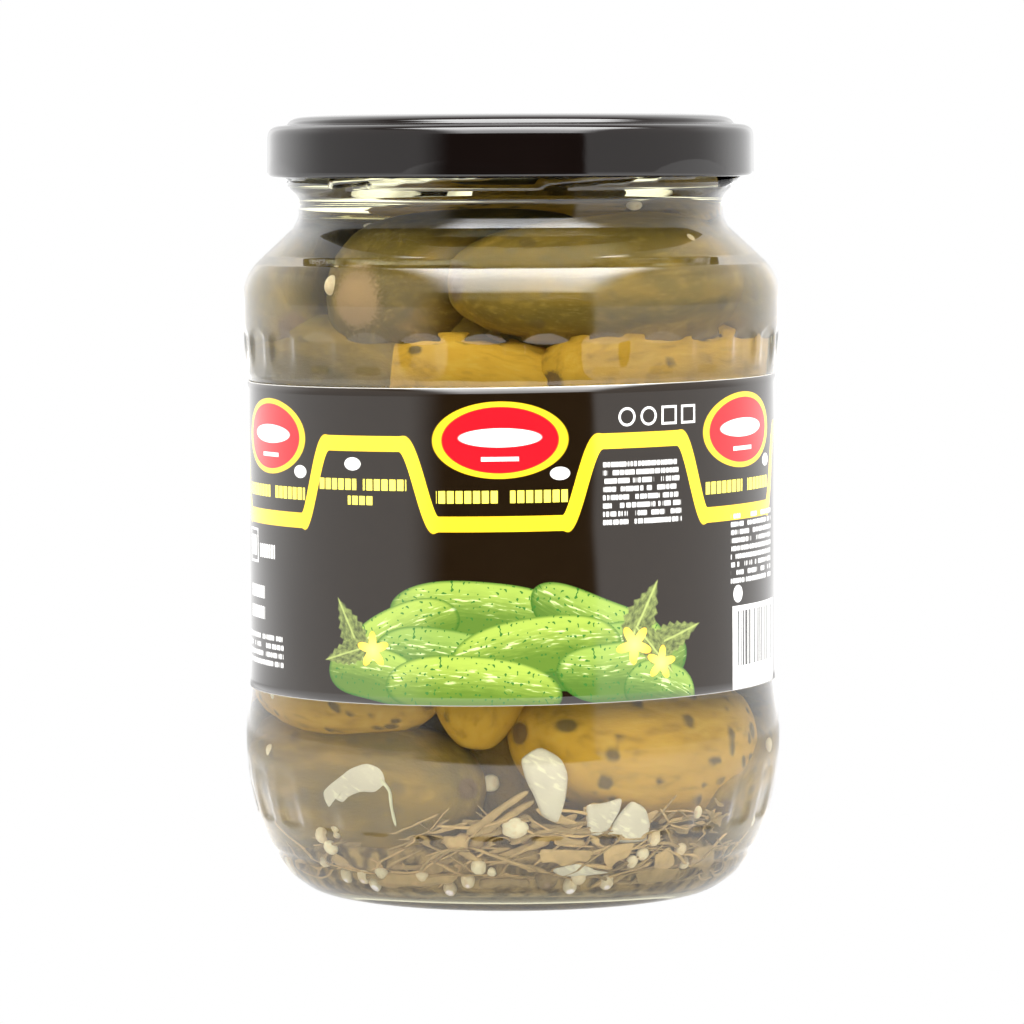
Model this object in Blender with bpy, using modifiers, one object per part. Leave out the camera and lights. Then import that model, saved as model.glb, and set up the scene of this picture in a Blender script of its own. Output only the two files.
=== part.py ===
"""Pickle jar: a fluted glass jar with a twist-off lid, a wrap-round label and a heap of gherkins.

Units are metres, +Z is up. The origin is the centre of the jar's foot, on the surface it stands on,
and the middle of the label's front faces -Y. An azimuth is counted in degrees from -Y towards +X.
"""
import math
import random
from collections import namedtuple

import bmesh
import bpy
import numpy as np
from mathutils import Matrix, Vector
from mathutils.bvhtree import BVHTree

# Driving dimensions of the glass, outside
JAR_HEIGHT = 0.1371
BAND_RADIUS = 0.04745
BAND_TAPER_HIGH = 0.0983
LOWER_BAND_HIGH = 0.0300
PANEL_RADIUS = 0.0461
PANEL_LOW = 0.0361
PANEL_HIGH = 0.0913
PANEL_STEP = 0.0007
UPPER_STEP_HEIGHT = 0.0009
LOWER_STEP_HEIGHT = 0.0030
HEEL_HEIGHT = 0.0250
HEEL_SWEEP_RADIUS = 0.0370
HEEL_SWEEP_ANGLE = 25.0
FOOT_RING_RADIUS = 0.0330
FOOT_RING_WIDTH = 0.0040
FOOT_ARC_RADIUS = 0.0095
PUSH_UP = 0.0030
SHOULDER_HEIGHT = 0.1050
SHOULDER_ARC_RADIUS = 0.0090
SHOULDER_SLOPE = 46.0
NECK_RADIUS = 0.0375
NECK_LOW = 0.1195
NECK_HIGH = 0.1215
NECK_ARC_RADIUS = 0.0031
BEAD_RADIUS = 0.03935
BEAD_LOW = 0.1234
BEAD_HIGH = 0.1253
FINISH_RADIUS = 0.0391
RIM_HEIGHT = 0.1355
RIM_ARC_RADIUS = 0.0014

# The inside of the glass
CAVITY_RADIUS = 0.0440
CAVITY_HEEL_RADIUS = 0.0425
CAVITY_SHOULDER_HEIGHT = 0.1040
CAVITY_SHOULDER_RADIUS = 0.0075
CAVITY_SLOPE_HIGH = 0.1160
CAVITY_SLOPE_TOP_RADIUS = 0.0359
CAVITY_NECK_RADIUS = 0.0351
FLOOR_HEIGHT = 0.0034
FLOOR_CROWN = 0.0052
FLOOR_ARC_RADIUS = 0.0100
MOUTH_RADIUS = 0.0363

# Flutes pressed into the two bands, and the lugs of the finish
FLUTES = 28
FLUTE_PHASE = 7.2
FLUTE_WIDTH = 0.0084
FLUTE_CORNER = 0.0038
UPPER_FLUTE_LOW = 0.0850
UPPER_FLUTE_HIGH = 0.1001
UPPER_FLUTE_FLOOR = 0.0466
LOWER_FLUTE_LOW = 0.0135
LOWER_FLUTE_HIGH = 0.0225
LOWER_FLUTE_FLOOR = 0.0459
LOWER_FLUTE_TILT = 10.0
CUTTER_DEPTH = 0.0040
LUGS = 6
LUG_PHASE = -12.3
LUG_LENGTH = 0.0150
LUG_HEIGHT = 0.0020
LUG_DEPTH = 0.0030
LUG_CENTRE_HEIGHT = 0.1285
LUG_RISE = 6.0

# Lid
LID_SKIRT_RADIUS = 0.04294
LID_CURL_RADIUS = 0.04313
LID_CURL_ROUNDING = 0.0008
LID_LOW = 0.1260
LID_SHEET = 0.0005
LID_CORNER = 0.0010
LID_CORNER_HEIGHT = 0.1337
LID_PANEL_RADIUS = 0.0395
LID_PANEL_ROUNDING = 0.0030
LID_CROWN = 0.0002
LID_STEP = 0.0016
LID_DENT_WIDTH = 0.0150
LID_DENT_HEIGHT = 0.0022
LID_DENT_DEPTH = 0.0003

# Label
LABEL_LOW = 0.0369
LABEL_HIGH = 0.0909
LABEL_RADIUS = 0.04675
LABEL_THICKNESS = 0.00030

# Contents
GLASS_CLEARANCE = 0.00045
CORE_RADIUS = 0.0300
CORE_LOW = 0.0058
CORE_HIGH = 0.1090
CORE_DOME = 0.0200
BED_RADIUS = 0.0385
BED_HIGH = 0.0150
BED_ROUNDING = 0.0030
SEED_RADIUS = 0.00135
SEEDS = 28
SEED_BED_HEIGHTS = (0.0090, 0.0140)
SEED_WALL_HEIGHTS = (0.0170, 0.0260, 0.0960, 0.1050)
GARLIC_RADII = (0.0034, 0.0014)
STALK_RADII = (0.0012, 0.0011)
SUNK_SHARE = 0.35

# Sides of the turned bodies
GLASS_STEPS = 48
LID_STEPS = 48
CORE_STEPS = 16

Gherkin = namedtuple("Gherkin", "azimuth height slope yaw length girth bend inset", defaults=(0.0,))
# Middle of each gherkin that the front shows: azimuth and height on the wall, slope above level,
# yaw from along the wall (0) to end-on (90), length, thickness, how far it bows outwards, and how far
# it lies inwards from the wall.
FRONT_GHERKINS = (
    Gherkin(-30, 0.1075, 4, 90, 0.060, 0.0250, 0.000),
    Gherkin(-101, 0.1060, 3, 0, 0.060, 0.0225, 0.005),
    Gherkin(32, 0.1085, 3, 0, 0.056, 0.0225, 0.006),
    Gherkin(101, 0.1065, -4, 0, 0.058, 0.0225, 0.005),
    Gherkin(52, 0.0925, 2, 8, 0.060, 0.0225, 0.003),
    Gherkin(10, 0.0850, -16, 0, 0.060, 0.0235, 0.004),
    Gherkin(-41, 0.0680, 86, 0, 0.060, 0.0200, 0.000),
    Gherkin(-55, 0.0205, 4, 0, 0.056, 0.0240, 0.004),
    Gherkin(-8, 0.0575, 88, 0, 0.060, 0.0195, 0.000),
    Gherkin(41, 0.0285, -6, 0, 0.047, 0.0245, 0.004),
    Gherkin(47, 0.0645, 87, 0, 0.056, 0.0205, 0.000),
    Gherkin(150, 0.1160, -4, 0, 0.056, 0.0220, 0.000, 0.0205),
)
BACK_SEED = 7
BACK_LAYERS = ((0.0205, 68, 268, 3), (0.0340, 115, 240, 2), (0.0930, 100, 262, 3), (0.1070, 140, 228, 1))
BACK_LENGTH = 0.058
BACK_GIRTH = 0.0225
BACK_BEND = 0.004
GHERKIN_BLUNTNESS = 0.8

# Slivers of garlic: azimuth, height, length and turn. Pieces of dill stalk: azimuth, height, length.
GARLIC_SLIVERS = ((6, 0.0235, 0.0110, 20), (17, 0.0185, 0.0075, -35), (150, 0.0210, 0.0090, 60))
DILL_STALKS = ((-13, 0.0112, 0.0110), (40, 0.0115, 0.0100), (200, 0.0115, 0.0120))


def on_circle(azimuth, radius, height):
    """Point at an azimuth in degrees, a distance from the axis and a height."""
    angle = math.radians(azimuth)
    return Vector((radius * math.sin(angle), -radius * math.cos(angle), height))


def arc(centre_r, centre_z, radius, start, end, steps):
    """Points of a circular arc in the (r, z) plane, angles in degrees from +r towards +z."""
    angles = [math.radians(start + (end - start) * i / steps) for i in range(steps + 1)]
    return [(centre_r + radius * math.cos(a), centre_z + radius * math.sin(a)) for a in angles]


def dome(radius, height, shares):
    """Points of a shallow parabolic dome of a given height, at shares of its radius."""
    return [(radius * share, height * (1 - share ** 2)) for share in shares]


def glass_outside():
    """The outer side of the glass in the (r, z) plane, from the rim down to the middle of the foot."""
    rim = arc(FINISH_RADIUS - RIM_ARC_RADIUS, RIM_HEIGHT - RIM_ARC_RADIUS, RIM_ARC_RADIUS, 90, 0, 2)
    neck = [(BEAD_RADIUS, BEAD_HIGH), (BEAD_RADIUS, BEAD_LOW), (NECK_RADIUS, NECK_HIGH)]
    neck += arc(NECK_RADIUS + NECK_ARC_RADIUS, NECK_LOW, NECK_ARC_RADIUS, 180, 180 + SHOULDER_SLOPE, 2)
    shoulder_centre = BAND_RADIUS - SHOULDER_ARC_RADIUS
    shoulder = arc(shoulder_centre, SHOULDER_HEIGHT, SHOULDER_ARC_RADIUS, SHOULDER_SLOPE, 0, 3)
    step_radius = PANEL_RADIUS + PANEL_STEP
    upper_band = [(BAND_RADIUS, BAND_TAPER_HIGH), (step_radius, PANEL_HIGH + UPPER_STEP_HEIGHT)]
    panel = [(PANEL_RADIUS, PANEL_HIGH), (PANEL_RADIUS, PANEL_LOW)]
    lower_band = [(step_radius, PANEL_LOW - LOWER_STEP_HEIGHT), (BAND_RADIUS, LOWER_BAND_HIGH)]
    sweep_centre = BAND_RADIUS - HEEL_SWEEP_RADIUS
    heel = arc(sweep_centre, HEEL_HEIGHT, HEEL_SWEEP_RADIUS, 0, -HEEL_SWEEP_ANGLE, 3)
    foot = arc(FOOT_RING_RADIUS, FOOT_ARC_RADIUS, FOOT_ARC_RADIUS, -15, -90, 4)
    push_up = dome(FOOT_RING_RADIUS - FOOT_RING_WIDTH, PUSH_UP, (1.0, 0.9, 0.5, 0.0))
    return rim + neck + shoulder + upper_band + panel + lower_band + heel + foot + push_up


def glass_inside():
    """The inner side of the glass in the (r, z) plane, from the middle of the floor up to the rim."""
    arc_centre = CAVITY_HEEL_RADIUS - FLOOR_ARC_RADIUS
    crown = dome(arc_centre, FLOOR_CROWN - FLOOR_HEIGHT, (0.0, 0.6))
    floor = [(radius, FLOOR_HEIGHT + rise) for radius, rise in crown]
    floor += arc(arc_centre, FLOOR_HEIGHT + FLOOR_ARC_RADIUS, FLOOR_ARC_RADIUS, -90, 0, 3)
    wall = [(CAVITY_RADIUS, HEEL_HEIGHT)]
    shoulder_centre = CAVITY_RADIUS - CAVITY_SHOULDER_RADIUS
    wall += arc(shoulder_centre, CAVITY_SHOULDER_HEIGHT, CAVITY_SHOULDER_RADIUS, 0, SHOULDER_SLOPE, 2)
    neck = [(CAVITY_SLOPE_TOP_RADIUS, CAVITY_SLOPE_HIGH), (CAVITY_NECK_RADIUS, NECK_LOW)]
    mouth = [(MOUTH_RADIUS, BEAD_HIGH), (MOUTH_RADIUS, RIM_HEIGHT - RIM_ARC_RADIUS)]
    return floor + wall + neck + mouth


def cavity_radius(height):
    """Radius of the glass cavity at a height, from the inner side's points above the floor's crown."""
    side = glass_inside()[2:]
    return float(np.interp(height, [z for _, z in side], [r for r, _ in side]))


def clear_scene():
    for old in list(bpy.data.objects):
        bpy.data.objects.remove(old, do_unlink=True)


def new_collection(name):
    collection = bpy.data.collections.new(name)
    bpy.context.scene.collection.children.link(collection)
    return collection


def principled(name, colour, roughness, metallic=0.0, transmission=0.0):
    """A Principled material with one colour."""
    material = bpy.data.materials.new(name)
    material.use_nodes = True
    shader = material.node_tree.nodes["Principled BSDF"]
    shader.inputs["Base Color"].default_value = (*colour, 1.0)
    shader.inputs["Roughness"].default_value = roughness
    shader.inputs["Metallic"].default_value = metallic
    shader.inputs["Transmission Weight"].default_value = transmission
    return material


def new_object(name, mesh, collection, material=None):
    obj = bpy.data.objects.new(name, mesh)
    collection.objects.link(obj)
    if material is not None:
        mesh.materials.append(material)
    return obj


def outline_mesh(name, points, closed=False):
    """The bare edges of an (r, z) outline, in the XZ plane, for the Screw modifier."""
    count = len(points)
    edges = [(i, i + 1) for i in range(count - 1)]
    if closed:
        edges.append((count - 1, 0))
    mesh = bpy.data.meshes.new(name)
    mesh.from_pydata([(r, 0.0, z) for r, z in points], edges, [])
    return mesh


def turned(name, points, steps, collection, material, closed=False):
    """A body of revolution about Z."""
    obj = new_object(name, outline_mesh(name, points, closed), collection, material)
    screw = obj.modifiers.new("turn", "SCREW")
    screw.axis = "Z"
    screw.steps = steps
    screw.render_steps = steps
    screw.use_merge_vertices = True
    screw.merge_threshold = 0.00002
    screw.use_smooth_shade = True
    return obj


def boolean(obj, operation, operands):
    """A Boolean modifier that takes all the objects of a collection."""
    modifier = obj.modifiers.new(operation.lower(), "BOOLEAN")
    modifier.operation = operation
    modifier.operand_type = "COLLECTION"
    modifier.collection = operands


def hide_cutter(obj):
    obj.hide_render = True
    obj.display_type = "WIRE"


def rounded_bar(name, width, depth, height, corner, segments):
    """A box whose four edges along Y are rounded: width on X, depth on Y, height on Z."""
    bar = bmesh.new()
    bmesh.ops.create_cube(bar, size=1.0)
    bmesh.ops.scale(bar, vec=(width, depth, height), verts=bar.verts)
    along_y = [e for e in bar.edges if abs(e.verts[0].co.y - e.verts[1].co.y) > depth / 2]
    bmesh.ops.bevel(bar, geom=along_y, offset=corner, segments=segments, profile=0.5, affect="EDGES")
    mesh = bpy.data.meshes.new(name)
    bar.to_mesh(mesh)
    bar.free()
    return mesh


def ring_of(mesh, name, count, phase, radius, height, tilt, spin, collection):
    """Copies of a mesh evenly round the jar, their depth axis pointing outwards."""
    for i in range(count):
        azimuth = phase + 360.0 * i / count
        obj = new_object(f"{name}_{i + 1:02d}", mesh, collection)
        obj.location = on_circle(azimuth, radius, height)
        obj.rotation_euler = (math.radians(tilt), math.radians(spin), math.radians(azimuth))
        hide_cutter(obj)


def cut_flutes(name, low, high, floor_radius, tilt, cutters):
    """A ring of flat-floored flutes between two heights."""
    bar = rounded_bar(name, FLUTE_WIDTH, CUTTER_DEPTH, high - low, FLUTE_CORNER, 2)
    radius = floor_radius + CUTTER_DEPTH / 2
    ring_of(bar, name, FLUTES, FLUTE_PHASE, radius, (low + high) / 2, tilt, 0, cutters)


def make_glass(parts, material):
    """The jar itself: a turned shell with flutes cut into both bands and lugs on the finish."""
    jar = turned("glass_jar", glass_inside() + glass_outside(), GLASS_STEPS, parts, material)
    flutes = new_collection("flute_cutters")
    cut_flutes("upper_flute", UPPER_FLUTE_LOW, UPPER_FLUTE_HIGH, UPPER_FLUTE_FLOOR, 0, flutes)
    cut_flutes("lower_flute", LOWER_FLUTE_LOW, LOWER_FLUTE_HIGH, LOWER_FLUTE_FLOOR, LOWER_FLUTE_TILT, flutes)
    boolean(jar, "DIFFERENCE", flutes)
    lugs = new_collection("thread_lugs")
    lug = rounded_bar("thread_lug", LUG_LENGTH, LUG_DEPTH, LUG_HEIGHT, LUG_HEIGHT * 0.4, 1)
    ring_of(lug, "thread_lug", LUGS, LUG_PHASE, FINISH_RADIUS, LUG_CENTRE_HEIGHT, 0, -LUG_RISE, lugs)
    boolean(jar, "UNION", lugs)


def lid_top(sheet):
    """The lid's top from its middle out to the skirt's corner, a given distance inside its surface."""
    crown = JAR_HEIGHT - sheet
    flat = LID_PANEL_RADIUS - LID_PANEL_ROUNDING
    rounding = LID_PANEL_ROUNDING * 0.6
    panel = [(0, crown), (flat, crown - LID_CROWN), (flat + rounding, crown - LID_CROWN * 3)]
    step = [(LID_PANEL_RADIUS, crown - LID_STEP)]
    corner = arc(LID_SKIRT_RADIUS - LID_CORNER, LID_CORNER_HEIGHT, LID_CORNER - sheet, 75, 0, 3)
    return panel + step + corner


def make_lid(parts, material):
    """Twist-off lid with a stepped top, a rolled curl and dents where its lugs are pressed in."""
    curl_centre = LID_CURL_RADIUS - LID_CURL_ROUNDING
    curl_height = LID_LOW + LID_CURL_ROUNDING
    skirt_low = curl_height + LID_CURL_ROUNDING * 2
    outside = lid_top(0) + [(LID_SKIRT_RADIUS, skirt_low)]
    curl = arc(curl_centre, curl_height, LID_CURL_ROUNDING, 30, -210, 6)
    inside = [(LID_SKIRT_RADIUS - LID_SHEET, skirt_low)] + lid_top(LID_SHEET)[::-1]
    lid = turned("lid", outside + curl + inside, LID_STEPS, parts, material)
    dents = new_collection("lid_dent_cutters")
    dent = rounded_bar("lid_dent", LID_DENT_WIDTH, CUTTER_DEPTH, LID_DENT_HEIGHT, LID_DENT_HEIGHT * 0.45, 2)
    sagitta = LID_DENT_WIDTH ** 2 / 8 / LID_CURL_RADIUS
    radius = LID_CURL_RADIUS - LID_DENT_DEPTH - sagitta / 2 + CUTTER_DEPTH / 2
    ring_of(dent, "lid_dent", LUGS, LUG_PHASE, radius, LID_LOW + LID_DENT_HEIGHT * 0.6, 0, 0, dents)
    boolean(lid, "DIFFERENCE", dents)


def make_label(parts, material):
    """The wrap-round label, a thin closed ring just clear of the glass."""
    inside = LABEL_RADIUS - LABEL_THICKNESS
    outline = [(LABEL_RADIUS, LABEL_HIGH), (LABEL_RADIUS, LABEL_LOW)]
    outline += [(inside, LABEL_LOW), (inside, LABEL_HIGH)]
    turned("label", outline, GLASS_STEPS, parts, material, closed=True)


def back_gherkins():
    """Gherkins that fill the sides and back: layers of them along the wall, each a little off its place."""
    draw = random.Random(BACK_SEED)
    rows = []
    for height, first, last, count in BACK_LAYERS:
        for i in range(count):
            azimuth = first + (last - first) * (i + 0.5) / count + draw.uniform(-4, 4)
            slope = draw.uniform(6, 16) * (-1) ** i
            length = BACK_LENGTH * draw.uniform(0.92, 1.08)
            girth = BACK_GIRTH * draw.uniform(0.94, 1.06)
            rows.append(Gherkin(azimuth, height, slope, draw.uniform(0, 10), length, girth, BACK_BEND))
    return rows


def pressed_inside(point, clearance):
    """A point moved straight towards the axis until it's clear of the glass.

    Above the shoulder the limit keeps to the shoulder's slope, so that no face cuts the neck's corner.
    """
    above = max(0.0, point.z - CAVITY_SLOPE_HIGH)
    limit = cavity_radius(min(point.z, CAVITY_SLOPE_HIGH)) - above - clearance
    radius = math.hypot(point.x, point.y)
    if radius > limit:
        point.x *= limit / radius
        point.y *= limit / radius
    point.z = max(point.z, CORE_LOW + clearance)
    return point


def gherkin_mesh(gherkin, clearance):
    """A sphere drawn out to a blunt-ended, bowed body, set in its place and pressed against the glass."""
    shape = bmesh.new()
    bmesh.ops.create_uvsphere(shape, u_segments=8, v_segments=7, radius=1.0)
    along = Matrix.Rotation(math.radians(gherkin.azimuth + gherkin.yaw), 3, "Z") @ Vector((1, 0, 0))
    outwards = on_circle(gherkin.azimuth, 1, 0)
    slope = math.radians(gherkin.slope)
    axis = along * math.cos(slope) + Vector((0, 0, 1)) * math.sin(slope)
    side = axis.cross(outwards if abs(axis.dot(outwards)) < 0.9 else Vector((0, 0, 1))).normalized()
    third = side.cross(axis).normalized()
    end_on = math.sin(math.radians(gherkin.yaw)) * math.cos(slope)
    reach = gherkin.length / 2 * end_on + gherkin.girth / 2 * (1 - end_on)
    radius = CAVITY_RADIUS - reach - abs(gherkin.bend) / 2 - gherkin.inset
    middle = on_circle(gherkin.azimuth, radius, gherkin.height)
    for vert in shape.verts:
        station = math.copysign(abs(vert.co.z) ** GHERKIN_BLUNTNESS, vert.co.z)
        bow = gherkin.bend * (0.5 - station ** 2)
        along_it = axis * station * gherkin.length / 2
        across_it = (side * vert.co.x + third * vert.co.y) * gherkin.girth / 2
        vert.co = pressed_inside(middle + along_it + across_it + outwards * bow, clearance)
    bmesh.ops.recalc_face_normals(shape, faces=shape.faces)
    mesh = bpy.data.meshes.new("gherkin")
    shape.to_mesh(mesh)
    shape.free()
    return mesh


def core_outline():
    """The heap's hidden core: a column with a domed top, on a rounded bed on the jar's floor."""
    top = dome(CORE_RADIUS, CORE_DOME, (0.0, 0.5, 0.85, 1.0))
    column = [(radius, CORE_HIGH - CORE_DOME + rise) for radius, rise in top]
    bed = [(CORE_RADIUS, BED_HIGH + BED_ROUNDING), (BED_RADIUS - BED_ROUNDING, BED_HIGH)]
    bed += [(BED_RADIUS, BED_HIGH - BED_ROUNDING), (BED_RADIUS - BED_ROUNDING, CORE_LOW), (0, CORE_LOW)]
    return column + bed


def applied(obj):
    """Swaps an object's mesh for its evaluated one and drops its modifiers."""
    bpy.context.view_layer.update()
    evaluated = obj.evaluated_get(bpy.context.evaluated_depsgraph_get())
    mesh = bpy.data.meshes.new_from_object(evaluated)
    obj.modifiers.clear()
    obj.data = mesh
    return obj


def keep_main_shell(mesh):
    """Fills sealed hollows and drops loose scraps: only the largest connected shell stays."""
    shape = bmesh.new()
    shape.from_mesh(mesh)
    left = set(shape.verts)
    shells = []
    while left:
        shell = {left.pop()}
        edge_of_shell = list(shell)
        while edge_of_shell:
            vert = edge_of_shell.pop()
            fresh = {e.other_vert(vert) for e in vert.link_edges} & left
            left -= fresh
            shell |= fresh
            edge_of_shell.extend(fresh)
        shells.append(shell)
    shells.sort(key=len)
    rest = [vert for shell in shells[:-1] for vert in shell]
    bmesh.ops.delete(shape, geom=rest, context="VERTS")
    shape.to_mesh(mesh)
    shape.free()


def fuse(obj, pieces):
    """Joins a collection's objects to an object for good, and removes them."""
    boolean(obj, "UNION", pieces)
    applied(obj)
    keep_main_shell(obj.data)
    for piece in list(pieces.objects):
        bpy.data.objects.remove(piece, do_unlink=True)
    bpy.data.collections.remove(pieces)


def resting_place(tree, azimuth, height, size):
    """Where a small piece lies on the heap, a little sunk, seen from the glass at an azimuth and height."""
    start = on_circle(azimuth, cavity_radius(height), height)
    inwards = -on_circle(azimuth, 1, 0)
    hit, _, _, _ = tree.ray_cast(start, inwards)
    radius = math.hypot(hit.x, hit.y) + size * SUNK_SHARE
    most = cavity_radius(height) - GLASS_CLEARANCE - size
    return on_circle(azimuth, min(radius, most), height)


def add_seeds(tree, pieces):
    """Mustard seeds: most lie low on the bed, the rest anywhere in the two clear bands of the wall."""
    draw = random.Random(BACK_SEED)
    ball = bmesh.new()
    bmesh.ops.create_icosphere(ball, subdivisions=1, radius=SEED_RADIUS)
    mesh = bpy.data.meshes.new("mustard_seed")
    ball.to_mesh(mesh)
    ball.free()
    for i in range(SEEDS):
        azimuth = 360.0 * i / SEEDS + draw.uniform(-3, 3)
        height = draw.uniform(*SEED_BED_HEIGHTS) if i % 3 else draw.choice(SEED_WALL_HEIGHTS)
        seed = new_object("mustard_seed", mesh, pieces)
        seed.location = resting_place(tree, azimuth, height, SEED_RADIUS)


def rod_mesh(name, sides, radii, length):
    """A closed tapered rod along Z."""
    rod = bmesh.new()
    low, high = radii
    bmesh.ops.create_cone(rod, cap_ends=True, segments=sides, radius1=low, radius2=high, depth=length)
    mesh = bpy.data.meshes.new(name)
    rod.to_mesh(mesh)
    rod.free()
    return mesh


def add_garlic(tree, pieces):
    """Slivers of garlic near the bottom: short tapered wedges with five sides."""
    for azimuth, height, length, turn in GARLIC_SLIVERS:
        sliver = new_object("garlic", rod_mesh("garlic", 5, GARLIC_RADII, length), pieces)
        sliver.location = resting_place(tree, azimuth, height, GARLIC_RADII[0])
        sliver.rotation_euler = (0, math.radians(turn), math.radians(azimuth))


def add_stalks(tree, pieces):
    """Pieces of dill stalk lying nearly level on the bed."""
    for azimuth, height, length in DILL_STALKS:
        stalk = new_object("dill_stalk", rod_mesh("dill_stalk", 6, STALK_RADII, length), pieces)
        stalk.location = resting_place(tree, azimuth, height, STALK_RADII[0] * 2)
        stalk.rotation_euler = (0, math.radians(88), math.radians(azimuth))


def make_heap(parts, material):
    """The heap of gherkins as one body: a core, the gherkins that show, then what lies on them."""
    heap = applied(turned("pickle_heap", core_outline(), CORE_STEPS, parts, material))
    gherkins = new_collection("gherkins")
    for i, gherkin in enumerate([*FRONT_GHERKINS, *back_gherkins()]):
        clearance = GLASS_CLEARANCE + 0.00002 * i  # pressed faces of two neighbours never share a plane
        new_object("gherkin", gherkin_mesh(gherkin, clearance), gherkins)
    fuse(heap, gherkins)
    bpy.context.view_layer.update()
    tree = BVHTree.FromObject(heap, bpy.context.evaluated_depsgraph_get())
    toppings = new_collection("toppings")
    add_seeds(tree, toppings)
    add_garlic(tree, toppings)
    add_stalks(tree, toppings)
    fuse(heap, toppings)


def main():
    clear_scene()
    parts = new_collection("pickle_jar")
    make_glass(parts, principled("clear_glass", (0.93, 0.95, 0.92), 0.03, transmission=1.0))
    make_lid(parts, principled("black_lid", (0.012, 0.010, 0.010), 0.28))
    make_label(parts, principled("brown_label", (0.022, 0.014, 0.006), 0.25))
    make_heap(parts, principled("olive_gherkin", (0.30, 0.19, 0.045), 0.4))


main()
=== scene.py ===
"""Shut glass jar of pickled gherkins: glass, lid, label, brine and contents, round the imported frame.

Shapes are worked out in millimetres and set in metres. An azimuth is counted in degrees from -Y
towards +X, and the foot stands at height 0.
"""
import math
import random
from collections import namedtuple

import bpy
import numpy as np
from mathutils import Matrix, Vector
from mathutils.bvhtree import BVHTree


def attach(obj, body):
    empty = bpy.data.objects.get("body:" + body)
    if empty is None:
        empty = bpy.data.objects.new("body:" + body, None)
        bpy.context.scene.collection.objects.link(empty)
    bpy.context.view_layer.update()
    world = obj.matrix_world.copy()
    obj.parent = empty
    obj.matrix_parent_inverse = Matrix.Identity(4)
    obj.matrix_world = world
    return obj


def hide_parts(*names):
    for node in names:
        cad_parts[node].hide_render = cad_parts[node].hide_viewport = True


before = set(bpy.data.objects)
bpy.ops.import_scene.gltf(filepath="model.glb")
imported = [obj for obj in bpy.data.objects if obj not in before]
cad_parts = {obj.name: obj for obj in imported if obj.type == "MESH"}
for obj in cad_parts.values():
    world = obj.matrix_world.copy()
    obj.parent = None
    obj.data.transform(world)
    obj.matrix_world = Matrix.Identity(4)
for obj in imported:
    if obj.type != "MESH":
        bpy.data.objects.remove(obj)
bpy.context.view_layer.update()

MM = 0.001
WHITE = (1.0, 1.0, 1.0, 1.0)

# Sizes of the jar, as in the solids
CAVITY_RADIUS = 44.0
BAND_RADIUS = 47.4
SLOPE_HIGH = 116.0
CORE_LOW = 5.8
# Gaps between the wall and the gherkins, and between the wall and garlic or herb
CLEARANCE = 0.4
WALL_GAP = 0.15
FLUTES = 28
FLUTE_PHASE = 7.2
LUGS = 6
LUG_PHASE = -12.3
THREAD_PHASE = -23.6
LABEL_RADIUS = 46.75
LABEL_LOW = 36.9
LABEL_HIGH = 90.9
LABEL_TILT = 0.55
BRINE_LEVEL = 127.5
# Height of a gherkin's warts, and how much longer its skin's pattern is than wide
WART_RISE = 0.42
SKIN_DRAWN_OUT = 1 / 0.28
BRINE_IN_WALL = 0.14
GLASS_IOR = 1.52
BRINE_IOR = 1.33
# Brine on glass mirrors a tenth of what air on glass does
WETTED = (0.1, 0.1, 0.1, 1.0)

Gherkin = namedtuple("Gherkin", "azimuth height slope yaw length girth bend tone scar inset",
                     defaults=(0.0,))
# Middle on the wall, slope above level, yaw from along the wall (0) to end-on (90), length, thickness,
# how far it bows outwards, its tone from grey olive (0) to gold (1), the width of its end scars, and how
# far it lies inwards from the wall.
FRONT_GHERKINS = [Gherkin(*row) for row in (
    (-36.5, 107.0, 4, 90, 60, 26.5, 0, 0.12, 4.0),
    (-106, 103.5, -7, 0, 60, 22.5, 5, 0.18, 3.0),
    (32, 108.5, 3, 0, 56, 22.5, 6, 0.29, 1.8),
    (101, 106.5, -4, 0, 58, 22.5, 5, 0.20, 1.8),
    (52, 92.5, 2, 8, 60, 22.5, 3, 0.85, 1.8),
    (10, 85.0, -16, 0, 60, 23.5, 4, 0.95, 1.8),
    (-41, 66.5, 86, 0, 60, 20.0, 0, 0.80, 1.8),
    (-55, 20.5, 4, 0, 56, 24.0, 4, 0.34, 1.8),
    (-8, 57.5, 88, 0, 60, 19.5, 0, 1.00, 1.8),
    (41, 28.5, -6, 0, 47, 24.5, 4, 0.85, 1.8),
    (47, 64.5, 87, 0, 56, 20.5, 0, 0.30, 2.2),
    (145, 116.0, -4, 0, 46, 22.0, 0, 0.85, 1.8, 20.5),
    (158, 119.3, 2, 0, 47, 15.5, 0, 0.80, 1.8, 20.0),
    (-62, 92.0, -3, 0, 54, 21.0, 3, 0.14, 1.8),
    (-24, 96.0, 6, 10, 50, 20.0, 0, 0.35, 1.8, 9.0),
    (98, 119.0, 0, 0, 42, 16.0, 0, 0.55, 1.8, 13.0),
    (-58, 39.0, -4, 0, 50, 20.0, 3, 0.80, 1.8),
)]
# Layers of gherkins at the back: height, first and last azimuth, and how many
BACK_SEED = 7
BACK_LAYERS = ((20.5, 68, 268, 3), (34.0, 115, 240, 2), (93.0, 100, 262, 3), (107.0, 140, 228, 1))


# Shaders

class Socket:
    """An output of a shader node. Python's arithmetic on it adds Math nodes."""

    def __init__(self, paint, link):
        self.paint = paint
        self.link = link

    def __add__(self, other):
        return self.paint.math("ADD", self, other)

    def __sub__(self, other):
        return self.paint.math("SUBTRACT", self, other)

    def __rsub__(self, other):
        return self.paint.math("SUBTRACT", other, self)

    def __mul__(self, other):
        return self.paint.math("MULTIPLY", self, other)

    def __truediv__(self, other):
        return self.paint.math("DIVIDE", self, other)

    def __pow__(self, other):
        return self.paint.math("POWER", self, other)

    def __abs__(self):
        return self.paint.math("ABSOLUTE", self)

    __radd__ = __add__
    __rmul__ = __mul__


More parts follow.
